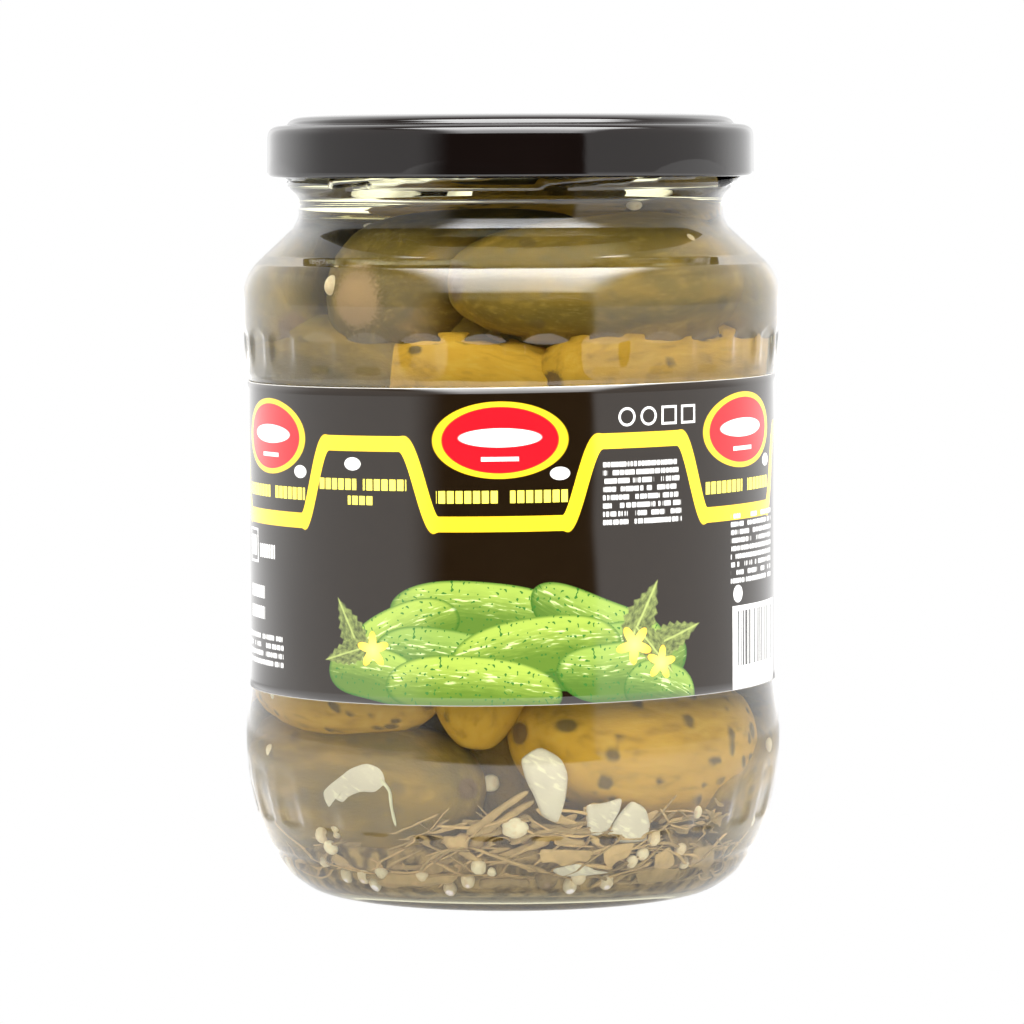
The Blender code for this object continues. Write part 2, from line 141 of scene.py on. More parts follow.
class Paint:
    """The node tree of a material or of the world."""

    def __init__(self, owner):
        owner.use_nodes = True
        self.owner = owner
        self.tree = owner.node_tree
        self.tree.nodes.clear()

    def node(self, kind, settings=None, inputs=None, out=0):
        """Adds a node: its settings, then the values or links of its sockets. Gives one output or more."""
        made = self.tree.nodes.new("ShaderNode" + kind)
        for name, value in (settings or {}).items():
            setattr(made, name, value)
        for key, value in (inputs or {}).items():
            if isinstance(value, Socket):
                self.tree.links.new(value.link, made.inputs[key])
            else:
                made.inputs[key].default_value = value
        if isinstance(out, tuple):
            return [Socket(self, made.outputs[name]) for name in out]
        return Socket(self, made.outputs[out])

    def math(self, operation, *values, clamp=False):
        settings = {"operation": operation, "use_clamp": clamp}
        return self.node("Math", settings, dict(enumerate(values)))

    def length(self, x, y):
        """Length of a flat vector."""
        return self.node("VectorMath", {"operation": "LENGTH"}, {0: self.vector(x, y)}, "Value")

    def degrees(self, operation, *values):
        """The angle that an inverse function gives, in degrees."""
        return self.math(operation, *values) * (180 / math.pi)

    def most(self, first, *others):
        """The greatest of several values."""
        for value in others:
            first = self.math("MAXIMUM", first, value)
        return first

    def mix(self, share, first, second):
        """Colour between two colours."""
        return self.node("Mix", {"data_type": "RGBA"}, {0: share, 6: first, 7: second}, 2)

    def layers(self, colour, *layers):
        """Colours laid over a ground one after the other, each by its share."""
        for share, over in layers:
            colour = self.mix(share, colour, over)
        return colour

    def multiply(self, first, second, share):
        """One colour darkened by a share of another."""
        settings = {"data_type": "RGBA", "blend_type": "MULTIPLY"}
        return self.node("Mix", settings, {0: share, 6: first, 7: second}, 2)

    def inside(self, distance, soft):
        """1 where a distance is below 0, 0 above, over a soft edge."""
        return self.math("MULTIPLY_ADD", distance, -1.0 / soft, 0.5, clamp=True)

    def rising(self, value, start, end):
        """0 below start, 1 above end, smooth between."""
        inputs = {"Value": value, "From Min": start, "From Max": end}
        return self.node("MapRange", {"interpolation_type": "SMOOTHSTEP"}, inputs)

    def noise(self, place, scale, detail, roughness=0.5):
        inputs = {"Vector": place, "Scale": scale, "Detail": detail, "Roughness": roughness}
        return self.node("TexNoise", None, inputs)

    def vector(self, x, y, z=0.0):
        return self.node("CombineXYZ", None, {0: x, 1: y, 2: z})

    def parts(self, vector):
        return self.node("SeparateXYZ", None, {0: vector}, (0, 1, 2))

    def place(self):
        """Object coordinates, in metres."""
        return self.node("TexCoord", out="Object")

    def mark(self, name, out="Fac"):
        """A piece's own attribute."""
        return self.node("Attribute", {"attribute_name": name}, None, out)

    def turned(self, place, centre, size, turn):
        """Coordinates in which an ellipse of the plane is the unit circle."""
        inputs = {"Vector": place, "Location": (*centre, 0.0), "Scale": (*size, 1.0)}
        inputs["Rotation"] = (0.0, 0.0, math.radians(turn))
        x, y, _ = self.parts(self.node("Mapping", {"vector_type": "TEXTURE"}, inputs))
        return x, y

    def bump(self, height, distance, strength):
        inputs = {"Height": height, "Distance": distance, "Strength": strength}
        return self.node("Bump", None, inputs)

    def principled(self, **inputs):
        """Ends the tree in a Principled shader whose sockets are named with underscores for spaces."""
        named = {key.replace("_", " "): value for key, value in inputs.items()}
        shader = self.node("BsdfPrincipled", None, named)
        self.node("OutputMaterial", None, {"Surface": shader}, ())
        return self.owner

    def matt(self, colour, roughness, *bump):
        """Ends the tree in a matt shader with a bumpy surface."""
        skin = self.bump(*bump)
        return self.principled(Base_Color=colour, Roughness=roughness, Specular_IOR_Level=0.1, Normal=skin)

    def light(self, shader, glow):
        """A light of a given brightness that camera rays see as plain white."""
        grey = self.node("CombineColor", None, {0: glow, 1: glow, 2: glow})
        camera_ray = self.node("LightPath", out="Is Camera Ray")
        return self.node(shader, None, {"Color": self.mix(camera_ray, grey, WHITE), "Strength": 1.0})


def material(name):
    return Paint(bpy.data.materials.new(name))


def clear_finish(name, colour, ior, **more):
    """A smooth clear material."""
    inputs = {"Base_Color": colour, "Roughness": 0.0, "IOR": ior, "Transmission_Weight": 1.0}
    return material(name).principled(**inputs, **more)


# Meshes from grids

Part = namedtuple("Part", "points quads triangles marks")


def grid_quads(rows, columns):
    """Quads between neighbouring rows of a grid that closes round its columns."""
    row = np.arange(rows - 1)[:, None] * columns
    here = np.arange(columns)[None, :]
    beside = (here + 1) % columns
    corners = [row + here, row + beside, row + columns + beside, row + columns + here]
    return np.stack(corners, axis=-1).reshape(-1, 4)


def fan(columns, first, pole):
    """Triangles from one row of a grid to a single point."""
    here = np.arange(columns)
    return np.stack([first + here, first + (here + 1) % columns, np.full(columns, pole)], axis=-1)


def volume(points, triangles):
    """Signed volume of a closed shell, positive where its faces point outwards."""
    a, b, c = (points[triangles[:, i]] for i in range(3))
    return float(np.einsum("ij,ij->i", a, np.cross(b, c)).sum() / 6)


def closed_part(rows, start, end, **marks):
    """A closed shell: rows of points that each go round, and a pole before the first and after the last."""
    count, columns = rows.shape[:2]
    points = np.concatenate([rows.reshape(-1, 3), [start], [end]])
    quads = grid_quads(count, columns)
    poles = count * columns
    first = fan(columns, 0, poles)[:, ::-1]
    last = fan(columns, (count - 1) * columns, poles + 1)
    triangles = np.concatenate([first, last])
    whole = np.concatenate([quads[:, :3], quads[:, [0, 2, 3]], triangles])
    if volume(points, whole) < 0:
        quads, triangles = quads[:, ::-1], triangles[:, ::-1]
    return Part(points, quads, triangles, marks)


def shaded_part(rows, start, end, shade):
    """A closed shell whose points all have one shade."""
    return closed_part(rows, start, end, shade=np.full(rows[..., 0].size + 2, float(shade)))


def make_piece(name, parts, finish, replaces=()):
    """One smooth mesh of several closed shells, set in metres, that rides on the jar."""
    points = np.concatenate([part.points for part in parts]) * MM
    starts = np.cumsum([0] + [len(part.points) for part in parts[:-1]])
    quads = np.concatenate([part.quads + start for part, start in zip(parts, starts)])
    triangles = np.concatenate([part.triangles + start for part, start in zip(parts, starts)])
    corners = np.concatenate([quads.ravel(), triangles.ravel()]).astype(np.int32)
    sizes = np.concatenate([np.full(len(quads), 4), np.full(len(triangles), 3)])
    mesh = bpy.data.meshes.new(name)
    mesh.vertices.add(len(points))
    mesh.vertices.foreach_set("co", points.astype(np.float32).ravel())
    mesh.loops.add(len(corners))
    mesh.loops.foreach_set("vertex_index", corners)
    mesh.polygons.add(len(sizes))
    mesh.polygons.foreach_set("loop_start", (np.cumsum(sizes) - sizes).astype(np.int32))
    mesh.update(calc_edges=True)
    mesh.validate()
    mesh.shade_smooth()
    for mark in parts[0].marks:
        values = np.concatenate([part.marks[mark] for part in parts]).astype(np.float32)
        kind, field = ("FLOAT_VECTOR", "vector") if values.ndim == 2 else ("FLOAT", "value")
        mesh.attributes.new(mark, kind, "POINT").data.foreach_set(field, values.ravel())
    piece = bpy.data.objects.new(name, mesh)
    bpy.context.scene.collection.objects.link(piece)
    mesh.materials.append(finish)
    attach(piece, "root")
    if replaces:
        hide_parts(*replaces)
    return piece


# Lines and profiles in the (r, z) plane

def arc(centre_r, centre_z, radius, start, end, steps):
    """A circular arc, angles in degrees from +r towards +z."""
    angles = np.radians(np.linspace(start, end, steps + 1))
    return np.stack([centre_r + radius * np.cos(angles), centre_z + radius * np.sin(angles)], axis=-1)


def stations(points, step):
    """Lengths along a line at its own points and evenly between them, no further apart than step."""
    at = np.concatenate([[0.0], np.cumsum(np.linalg.norm(np.diff(points, axis=0), axis=1))])
    pairs = zip(at, at[1:])
    fine = [np.linspace(a, b, max(1, math.ceil((b - a) / step)) + 1)[:-1] for a, b in pairs]
    return at, np.concatenate([*fine, at[-1:]])


def straight(points, step):
    """A line of straight pieces."""
    points = np.asarray(points, float)
    at, fine = stations(points, step)
    return np.stack([np.interp(fine, at, points[:, i]) for i in range(points.shape[1])], axis=-1)


def curve(points, step):
    """A smooth line: cubic pieces whose slope at a point is the slope between its neighbours."""
    points = np.asarray(points, float)
    at, fine = stations(points, step)
    slopes = np.gradient(points, at, axis=0)
    i = np.clip(np.searchsorted(at, fine, side="right") - 1, 0, len(points) - 2)
    gap = np.diff(at)[i][:, None]
    t = (fine - at[i])[:, None] / gap
    ends = (2 * t ** 3 - 3 * t ** 2 + 1) * points[i] + (3 * t ** 2 - 2 * t ** 3) * points[i + 1]
    pulls = (t ** 3 - 2 * t ** 2 + t) * slopes[i] + (t ** 3 - t ** 2) * slopes[i + 1]
    return ends + pulls * gap


def joined(*pieces):
    """One line from several, with the points they share kept once."""
    points = np.concatenate(pieces)
    apart = np.linalg.norm(np.diff(points, axis=0), axis=1) > 1e-6
    return points[np.concatenate([[True], apart])]


def on_wall(azimuth, radius, height):
    """Points at azimuths in degrees, distances from the axis and heights."""
    angle = np.radians(azimuth)
    x, y, z = np.broadcast_arrays(radius * np.sin(angle), -radius * np.cos(angle), height)
    return np.stack([x, y, z], axis=-1).astype(float)


def round_about(count):
    """Azimuths spaced evenly round the jar, as a row for a grid."""
    return np.linspace(0, 360, count, endpoint=False)[None, :]


def upright(profile):
    """The distances and the heights of a profile, as columns for a grid."""
    return profile[:, 0:1], profile[:, 1:2]


def softly_least(a, b, blend):
    """The lesser of two values, rounded where they cross."""
    return 0.5 * (a + b - np.sqrt((a - b) ** 2 + blend ** 2))


def ramp(value, start, end):
    """0 before start, 1 after end, smooth between."""
    t = np.clip((value - start) / (end - start), 0, 1)
    return t * t * (3 - 2 * t)


# Glass

def glass_inner():
    """The inner side from the middle of the floor up to the rim."""
    floor = straight([(6.0, 5.1), (19.5, 4.55), (32.5, 3.4)], 5)
    wall_foot = curve([(42.5, 13.4), (43.0, 16.5), (43.7, 21.0), (44, 25)], 2)
    heel = joined(arc(32.5, 13.4, 10, -90, 0, 10), wall_foot)
    shoulder = joined(straight([(44, 25), (44, 104)], 8), arc(36.5, 104, 7.5, 0, 41.4, 7))
    slope = straight([shoulder[-1], (35.9, 116)], 2.2)
    neck = curve([(35.9, 116), (35.1, 119.5), (36.3, 125.3)], 1.4)
    return joined(floor, heel, shoulder, slope, neck, straight([(36.3, 125.3), (36.3, 134.1)], 3))


def glass_outer():
    """The outer side from the rim down to the middle of the foot."""
    finish = straight([(39.1, 134.1), (39.1, 125.9)], 0.75)
    bead = [(39.1, 125.9), (39.35, 125.0), (39.35, 124.2), (38.6, 123.3), (37.9, 122.5), (37.52, 121.2)]
    neck = curve([*bead, (37.5, 119.8), (37.75, 118.6), (38.45, 117.27)], 0.7)
    shoulder = joined(straight([(38.45, 117.27), (44.70, 111.47)], 2.0), arc(38.45, 105, 9, 46, 0, 7))
    band = curve([(47.45, 105), (47.43, 102.5), (47.40, 100.4)], 1.6)
    flutes = joined(straight([(47.40, 100.4), (47.35, 97.6)], 0.30),
                    curve([(47.35, 97.6), (47.2, 95.6), (46.95, 93.5), (46.85, 92.2)], 1.0))
    step = curve([(46.85, 92.2), (46.72, 91.6), (46.42, 91.1)], 0.4)
    panel = straight([(46.42, 91.1), (46.42, 36.7)], 9)
    belt = [(46.42, 36.7), (46.5, 36.0), (46.72, 34.2), (46.95, 32.6), (47.2, 30.9)]
    lower = curve([*belt, (47.4, 28.8), (47.42, 26.4), (47.3, 24.0), (47.17, 22.9)], 1.2)
    heel = [(47.17, 22.9), (47.0, 20.7), (46.4, 17.1), (45.7, 14.25), (44.7, 11.4), (43.9, 9.2)]
    foot = [(43.9, 9.2), (43.6, 8.5), (43.0, 7.8), (42.5, 7.0), (42.25, 6.2), (41.4, 4.9), (40.2, 3.4)]
    foot = joined(curve(heel, 0.42), curve([*foot, (38.45, 1.97), (36.05, 0.5), (33.0, 0.0)], 0.8))
    push_up = straight([(33, 0), (29, 0), (26.1, 0.57), (14.5, 2.25), (5.0, 2.9)], 6)
    return joined(finish, neck, shoulder, band, flutes, step, panel, lower, foot, push_up)


def flute_azimuths():
    """Azimuths round the jar, closer together near the ridges between flutes."""
    half = np.array([0.0, 0.10, 0.19, 0.28, 0.35, 0.41, 0.45, 0.48])
    period = np.concatenate([half, 1 - half[:0:-1], [0.5]])
    flute = np.arange(FLUTES)[:, None] + np.sort(period)[None, :]
    return FLUTE_PHASE + flute.ravel() * 360.0 / FLUTES


def from_nearest(azimuth, phase, count):
    """Degrees from the nearest of some places spaced evenly round the jar."""
    pitch = 360.0 / count
    return (azimuth - phase + pitch / 2) % pitch - pitch / 2


def fluted(radius, height, azimuth):
    """Presses flat flutes into both bands.

    A flute is a flat facet whose ends run out to the band in a curved ledge. The radius is the lesser of
    the band's and the facet's, and across each ledge the facet's rises until it no longer cuts the band.
    """
    off = np.radians(from_nearest(azimuth, FLUTE_PHASE, FLUTES))
    across = BAND_RADIUS * off
    upper_ledge, lower_ledge, lower_top = 97.9, 14.7, 22.6

    def facet(depth, edge, middle, risen):
        """The radius with facets of a given depth, which fade out between two distances across."""
        cut = radius - (radius - depth) / np.cos(off)
        return radius - softly_least(-cut * ramp(np.abs(across), edge, middle), 0, 0.02) * (risen - 1)

    bow = np.minimum((across / 4.0) ** 2, 1)
    rise = np.clip((height - upper_ledge - 0.7 * bow) / (2.2 * (1 - bow) + 0.12), 0, 1)
    upper = facet(0.56 * ramp(height, 91.0, 97.0), 4.5, 2.6, rise)
    bow = np.minimum((across / 3.4) ** 2, 1)
    fall = np.clip((lower_ledge - 0.5 * bow - height) / (1.35 * (1 - bow) + 0.10), 0, 1)
    top = np.clip((height - lower_top + 1.4 * bow) / 1.6, 0, 1)
    lower = facet(0.2 + 0.4 * ramp(height, 21.0, 14.5), 4.3, 1.8, np.maximum(fall, top))
    upper_zone = (height > 91.0) & (height < 101.0)
    lower_zone = (height > 12.0) & (height < 24.6)
    return np.where(upper_zone, upper, np.where(lower_zone, lower, radius))


def thread(radius, height, azimuth):
    """Adds the slanted lugs of the finish: ridges with a rounded back that fade at both ends."""
    half_arc, half_thick, stands_out = 29.0, 1.05, 1.7
    off = from_nearest(azimuth, THREAD_PHASE, LUGS)
    middle = 126.75 + 1.5 * off / half_arc
    across = np.clip(1 - ((height - middle) / half_thick) ** 2, 0, 1)
    ends = np.clip((half_arc - np.abs(off)) / 4.0, 0, 1)
    ridge = stands_out * np.sqrt(across) * np.sqrt(ends)
    lugged = np.maximum(radius, 39.1 * (ridge > 0) + ridge)
    return np.where((height > 123.8) & (height < 132.0), lugged, radius)


def make_glass():
    """The jar: an inner wall that ripples a little, a round rim and the outer wall."""
    inner = glass_inner()
    azimuth = flute_azimuths()[None, :]
    r, z = upright(inner)
    wave = np.sin(np.radians(3 * azimuth) + z / 9) + np.sin(np.radians(5 * azimuth) - z / 14 + 1)
    press = np.cos(np.radians(azimuth - FLUTE_PHASE) * FLUTES) * ramp(z, 84, 92) * (1 - ramp(z, 97, 103))
    ripple, pressed = 0.03, 0.05
    inside = r + (ripple * wave - pressed * press) * ramp(z, 16, 26) * (1 - ramp(z, 104, 112))
    rows = [on_wall(azimuth, inside, z), on_wall(azimuth, *upright(arc(37.7, 134.1, 1.4, 180, 0, 7)[1:-1]))]
    r, z = upright(glass_outer())
    rows.append(on_wall(azimuth, thread(fluted(r, z, azimuth), z, azimuth), z))
    shell = closed_part(np.concatenate(rows), (0, 0, 5.2), (0, 0, 3.0))
    tint = (0.975, 0.985, 0.975, 1)
    dry = clear_finish("clear_glass", tint, GLASS_IOR)
    piece = make_piece("jar_glass", [shell], dry, ["glass_jar"])
    piece.data.materials.append(clear_finish("wetted_glass", tint, GLASS_IOR, Specular_Tint=WETTED))
    wet_rows = int((inner[:, 1] < BRINE_LEVEL).sum()) - 1
    wet = np.arange(len(piece.data.polygons)) < wet_rows * azimuth.size
    wet[len(shell.quads):len(shell.quads) + azimuth.size] = True
    piece.data.polygons.foreach_set("material_index", wet.astype(np.int32))
    return piece


def make_brine():
    """The brine: the inner wall's profile moved a little into the glass, closed by a level top."""
    inner = glass_inner()
    inner = inner[inner[:, 1] <= BRINE_LEVEL + 0.5]
    along = np.gradient(inner, axis=0)
    outwards = np.stack([along[:, 1], -along[:, 0]], axis=-1)
    wall = inner + BRINE_IN_WALL * outwards / np.linalg.norm(outwards, axis=1, keepdims=True)
    level = [(wall[-1, 0] - 0.4, BRINE_LEVEL + 0.1), (20.0, BRINE_LEVEL)]
    rows = on_wall(round_about(180), *upright(np.concatenate([wall, level])))
    shell = closed_part(rows, (0, 0, 5.06), (0, 0, BRINE_LEVEL))
    finish = clear_finish("brine", (0.98, 0.93, 0.62, 1), BRINE_IOR, Specular_Tint=WETTED)
    return make_piece("brine", [shell], finish)


# Lid

def make_lid():
    """Twist-off lid: turned sheet with a stepped top and a rolled curl, dented above each lug."""
    top = [(3, 137.1), (22, 137.05), (34.5, 136.9), (36.6, 136.75), (38.2, 136.45), (38.9, 136.1)]
    step = curve([(38.9, 136.1), (39.25, 135.75), (39.45, 135.45), (39.8, 135.32), (41.2, 135.15)], 0.25)
    corner = curve([(41.2, 135.15), (42.0, 134.85), (42.55, 134.4), (42.82, 133.8), (42.94, 133.0)], 0.25)
    skirt = straight([(42.94, 133.0), (42.99, 127.0)], 0.6)
    curl = arc(42.17, 126.9, 0.82, 0, -200, 12)
    outside = joined(curve(top, 1.6), step, corner, skirt, curl)
    inside = [(41.9, 128.2), (42.44, 129.0), (42.44, 133.4), (41.9, 134.4), (39.0, 134.9), (38.3, 136.0)]
    inside = joined(straight(inside, 2.0), straight([(38.3, 136.0), (35.0, 136.45), (3, 136.6)], 8))
    azimuth = round_about(300)
    r, z = upright(np.concatenate([outside, inside]))
    half_arc, depth, edge = 12.5, 0.18, 126.9
    arch = np.clip(1 - (from_nearest(azimuth, LUG_PHASE, LUGS) / half_arc) ** 2, 0, 1)
    in_skirt = (r > 40.5) * (z < 131)
    dent = depth * arch * np.clip(1 - (z - edge) / (1.9 * arch + 0.05), 0, 1) * in_skirt
    shell = closed_part(on_wall(azimuth, r - dent, z), (0, 0, 137.1), (0, 0, 136.6))
    paint = material("black_lid")
    place = paint.place()
    grain = paint.noise(place, 900.0, 3.0)
    cloud = paint.noise(place, 60.0, 3.0)
    colour = paint.mix(cloud, (0.0025, 0.0014, 0.0011, 1), (0.0050, 0.0030, 0.0025, 1))
    orange_peel = paint.bump(grain * 0.3 + cloud, 0.0001, 0.2)
    finish = paint.principled(Base_Color=colour, Roughness=0.04 + cloud * 0.04, IOR=1.5, Normal=orange_peel)
    return make_piece("lid_shell", [shell], finish, ["lid"])


# Label

# The waved stripe and the plaques in its dips
WAVE_PITCH = 50.0
WAVE_START = -2.0
WAVE_CREST = 81.4
WAVE_DEPTH = 13.6
STRIPE_HALF = 1.3
PLAQUE_HEIGHT = 82.0
PLAQUE_HALF = (11.6, 6.5)
COCOA = (0.0070, 0.0034, 0.0010, 1.0)
YELLOW = (0.92, 0.60, 0.018, 1.0)
RED = (0.80, 0.006, 0.012, 1.0)
PAPER = (0.86, 0.85, 0.82, 1.0)

# Gherkins of the label's picture: centre, half sizes, turn in degrees, bow and tone
PICTURE = (
    (-5, 53.0, 16.5, 4.6, -5, 0.30, 0.75),
    (15, 50.4, 13.0, 4.7, -22, -0.25, 0.60),
    (-20, 48.8, 11.5, 4.6, 24, 0.25, 0.85),
    (-12, 44.8, 13.0, 5.0, -8, 0.20, 0.35),
    (13, 45.0, 12.0, 5.0, 10, -0.20, 0.30),
    (4, 46.6, 15.0, 4.9, 7, 0.30, 0.90),
    (-25, 42.0, 9.5, 4.6, -10, 0.20, 0.70),
    (20, 42.6, 12.5, 5.2, 6, -0.30, 0.55),
    (-7, 40.2, 15.5, 4.9, -4, 0.25, 1.00),
    (27, 38.6, 7.5, 4.6, -18, 0.20, 0.40),
)
LEAVES = ((-29.5, 49.5, 6.0, 3.4, 118), (-30.5, 45.5, 5.0, 2.8, 196), (23, 51.5, 6.5, 3.9, 62),
          (29.5, 47.5, 6.0, 3.4, 18), (25.5, 45.5, 5.6, 3.2, -48))
BLOSSOMS = ((-25.0, 46.2, 3.4, 20), (21.5, 46.6, 3.7, 50), (26.8, 43.2, 3.2, 10))

# Bars: middle, then width and height
DIP_TITLES = ((-5.6, 72.4, 10.8, 2.1), (6.6, 72.4, 9.8, 2.1))
CREST_TITLES = ((-32.4, 74.4, 8.4, 1.9), (-22.6, 74.4, 8.4, 1.9), (-27.4, 71.7, 5.2, 1.5))
AMOUNTS = ((-61.5, 62.5, 3.6, 3.6), (-54.2, 61.8, 7.4, 2.4), (-59.5, 54.5, 8.6, 2.2),
           (-59.5, 50.9, 8.6, 2.2))
STRIPED_PANEL = (54.5, 44.2, 20.0, 14.6)
STRIPES = (54.8, 45.8, 17.4, 9.6)
# Blocks of dashes: the same, then the height of a line
SMALL_PRINT = ((23.5, 72.5, 15.5, 11.2, 1.4), (53.0, 61.5, 18.0, 12.6, 1.4), (-57.0, 44.5, 19.0, 6.0, 1.5))
BACK_PRINT = (112.0, 55.0, 44.0, 24.0, 1.5)


def label_coordinates(paint):
    """Millimetres round the label from the middle of its front, and above the jar's foot."""
    x, y, z = paint.parts(paint.place())
    azimuth = paint.math("ARCTAN2", x, y * -1)
    return azimuth * LABEL_RADIUS, z * 1000 - x * (LABEL_TILT / LABEL_RADIUS * 1000)


def bars(paint, u, v, *rows):
    """Filled rectangles, each a row of middle, width and height."""
    edges = [paint.most(abs(u - x) - width / 2, abs(v - y) - height / 2) for x, y, width, height in rows]
    return paint.most(*(paint.inside(edge, 0.12) for edge in edges))


def ring(paint, distance, width):
    """A band of a given width on both sides of the line where a distance is 0."""
    return paint.inside(abs(distance) - width / 2, 0.12)


def small_print(paint, u, v, block):
    """A block of rows of broken dashes."""
    x, y, width, height, line = block
    row = (v - (y - height / 2)) / line
    number = paint.math("FLOOR", row)
    across = abs(row - number - 0.5) * line - line * 0.27
    words = paint.noise(paint.vector(u * 0.5, number * 9.7), 1.0, 0.0)
    marks = paint.noise(paint.vector(u * 2.6, number * 5.3 + 40), 1.0, 0.0)
    rows = paint.inside(across, 0.25) * paint.rising(words, 0.36, 0.42) * paint.rising(marks, 0.30, 0.50)
    return rows * bars(paint, u, v, (x, y, width, height))


def painted_gherkin(paint, colour, flat, row):
    """One gherkin of the label's picture: a blunt oval with a pale streak, dark dots and a dark edge."""
    centre_u, centre_v, half_length, half_width, turn, bow, tone = row
    x, y = paint.turned(flat, (centre_u, centre_v), (half_length, half_width), turn)
    y = y + x * x * bow - bow * 0.3
    reach = abs(x) ** 3.2 + y * y
    along = paint.vector(x * half_length * 0.14 + centre_u, y * half_width * 0.9 + turn)
    streaks = paint.noise(along, 2.2, 3.0)
    light = paint.rising(y + streaks * 0.9, 0.0, 1.25)
    deep = (0.035 + 0.05 * tone, 0.090 + 0.06 * tone, 0.018, 1)
    middle = (0.15 + 0.12 * tone, 0.25 + 0.11 * tone, 0.055, 1)
    dots = paint.noise(paint.vector(x * half_length, y * half_width), 1.5, 0.0)
    skin = paint.layers(
        paint.mix(light, deep, middle),
        (paint.rising(streaks - abs(y - 0.25) * 0.3, 0.50, 0.66) * 0.8, (0.55, 0.62, 0.30, 1)),
        (paint.rising(dots, 0.68, 0.74), (0.03, 0.12, 0.02, 1)),
        (paint.rising(reach, 0.78, 1.0) * 0.75, (0.02, 0.09, 0.01, 1)))
    return paint.mix(paint.inside(reach - 1, 0.06), colour, skin)


def painted_leaf(paint, colour, flat, row):
    """A pointed leaf with a saw edge and a pale midrib."""
    x, y = paint.turned(flat, row[:2], row[2:4], row[4])
    saw = abs(paint.math("WRAP", x * 4.0, 0.5, -0.5)) * 0.35
    edge = abs(y) - (1 - x * x) * (0.80 - x * 0.35) + saw * (1 - x * x)
    mottle = paint.noise(paint.vector(x * 3.0, y * 3.0), 1.6, 3.0)
    leaf = paint.mix(paint.rising(mottle, 0.25, 0.75), (0.035, 0.045, 0.014, 1), (0.19, 0.23, 0.06, 1))
    leaf = paint.mix(paint.inside(abs(y) - 0.05, 0.06) * 0.7, leaf, (0.36, 0.42, 0.12, 1))
    return paint.mix(paint.inside(paint.most(edge, abs(x) - 1), 0.10), colour, leaf)


def painted_blossom(paint, colour, flat, row):
    """A yellow blossom: five pointed lobes round a paler heart."""
    centre_u, centre_v, radius, turn = row
    x, y = paint.turned(flat, (centre_u, centre_v), (radius, radius), turn)
    reach = paint.length(x, y)
    lobes = paint.math("COSINE", paint.math("ARCTAN2", y, x) * 5)
    petal = paint.mix(reach, (0.92, 0.66, 0.14, 1), (0.88, 0.48, 0.03, 1))
    return paint.mix(paint.inside(reach - lobes * 0.27 - 0.66, 0.08), colour, petal)


def wave_height(paint, beat):
    """Height of the waved stripe: flat dips under the plaques, flat crests between them."""
    swing = paint.math("COSINE", beat * (2 * math.pi / WAVE_PITCH))
    return paint.rising(swing, -0.62, 0.24) * -WAVE_DEPTH + WAVE_CREST


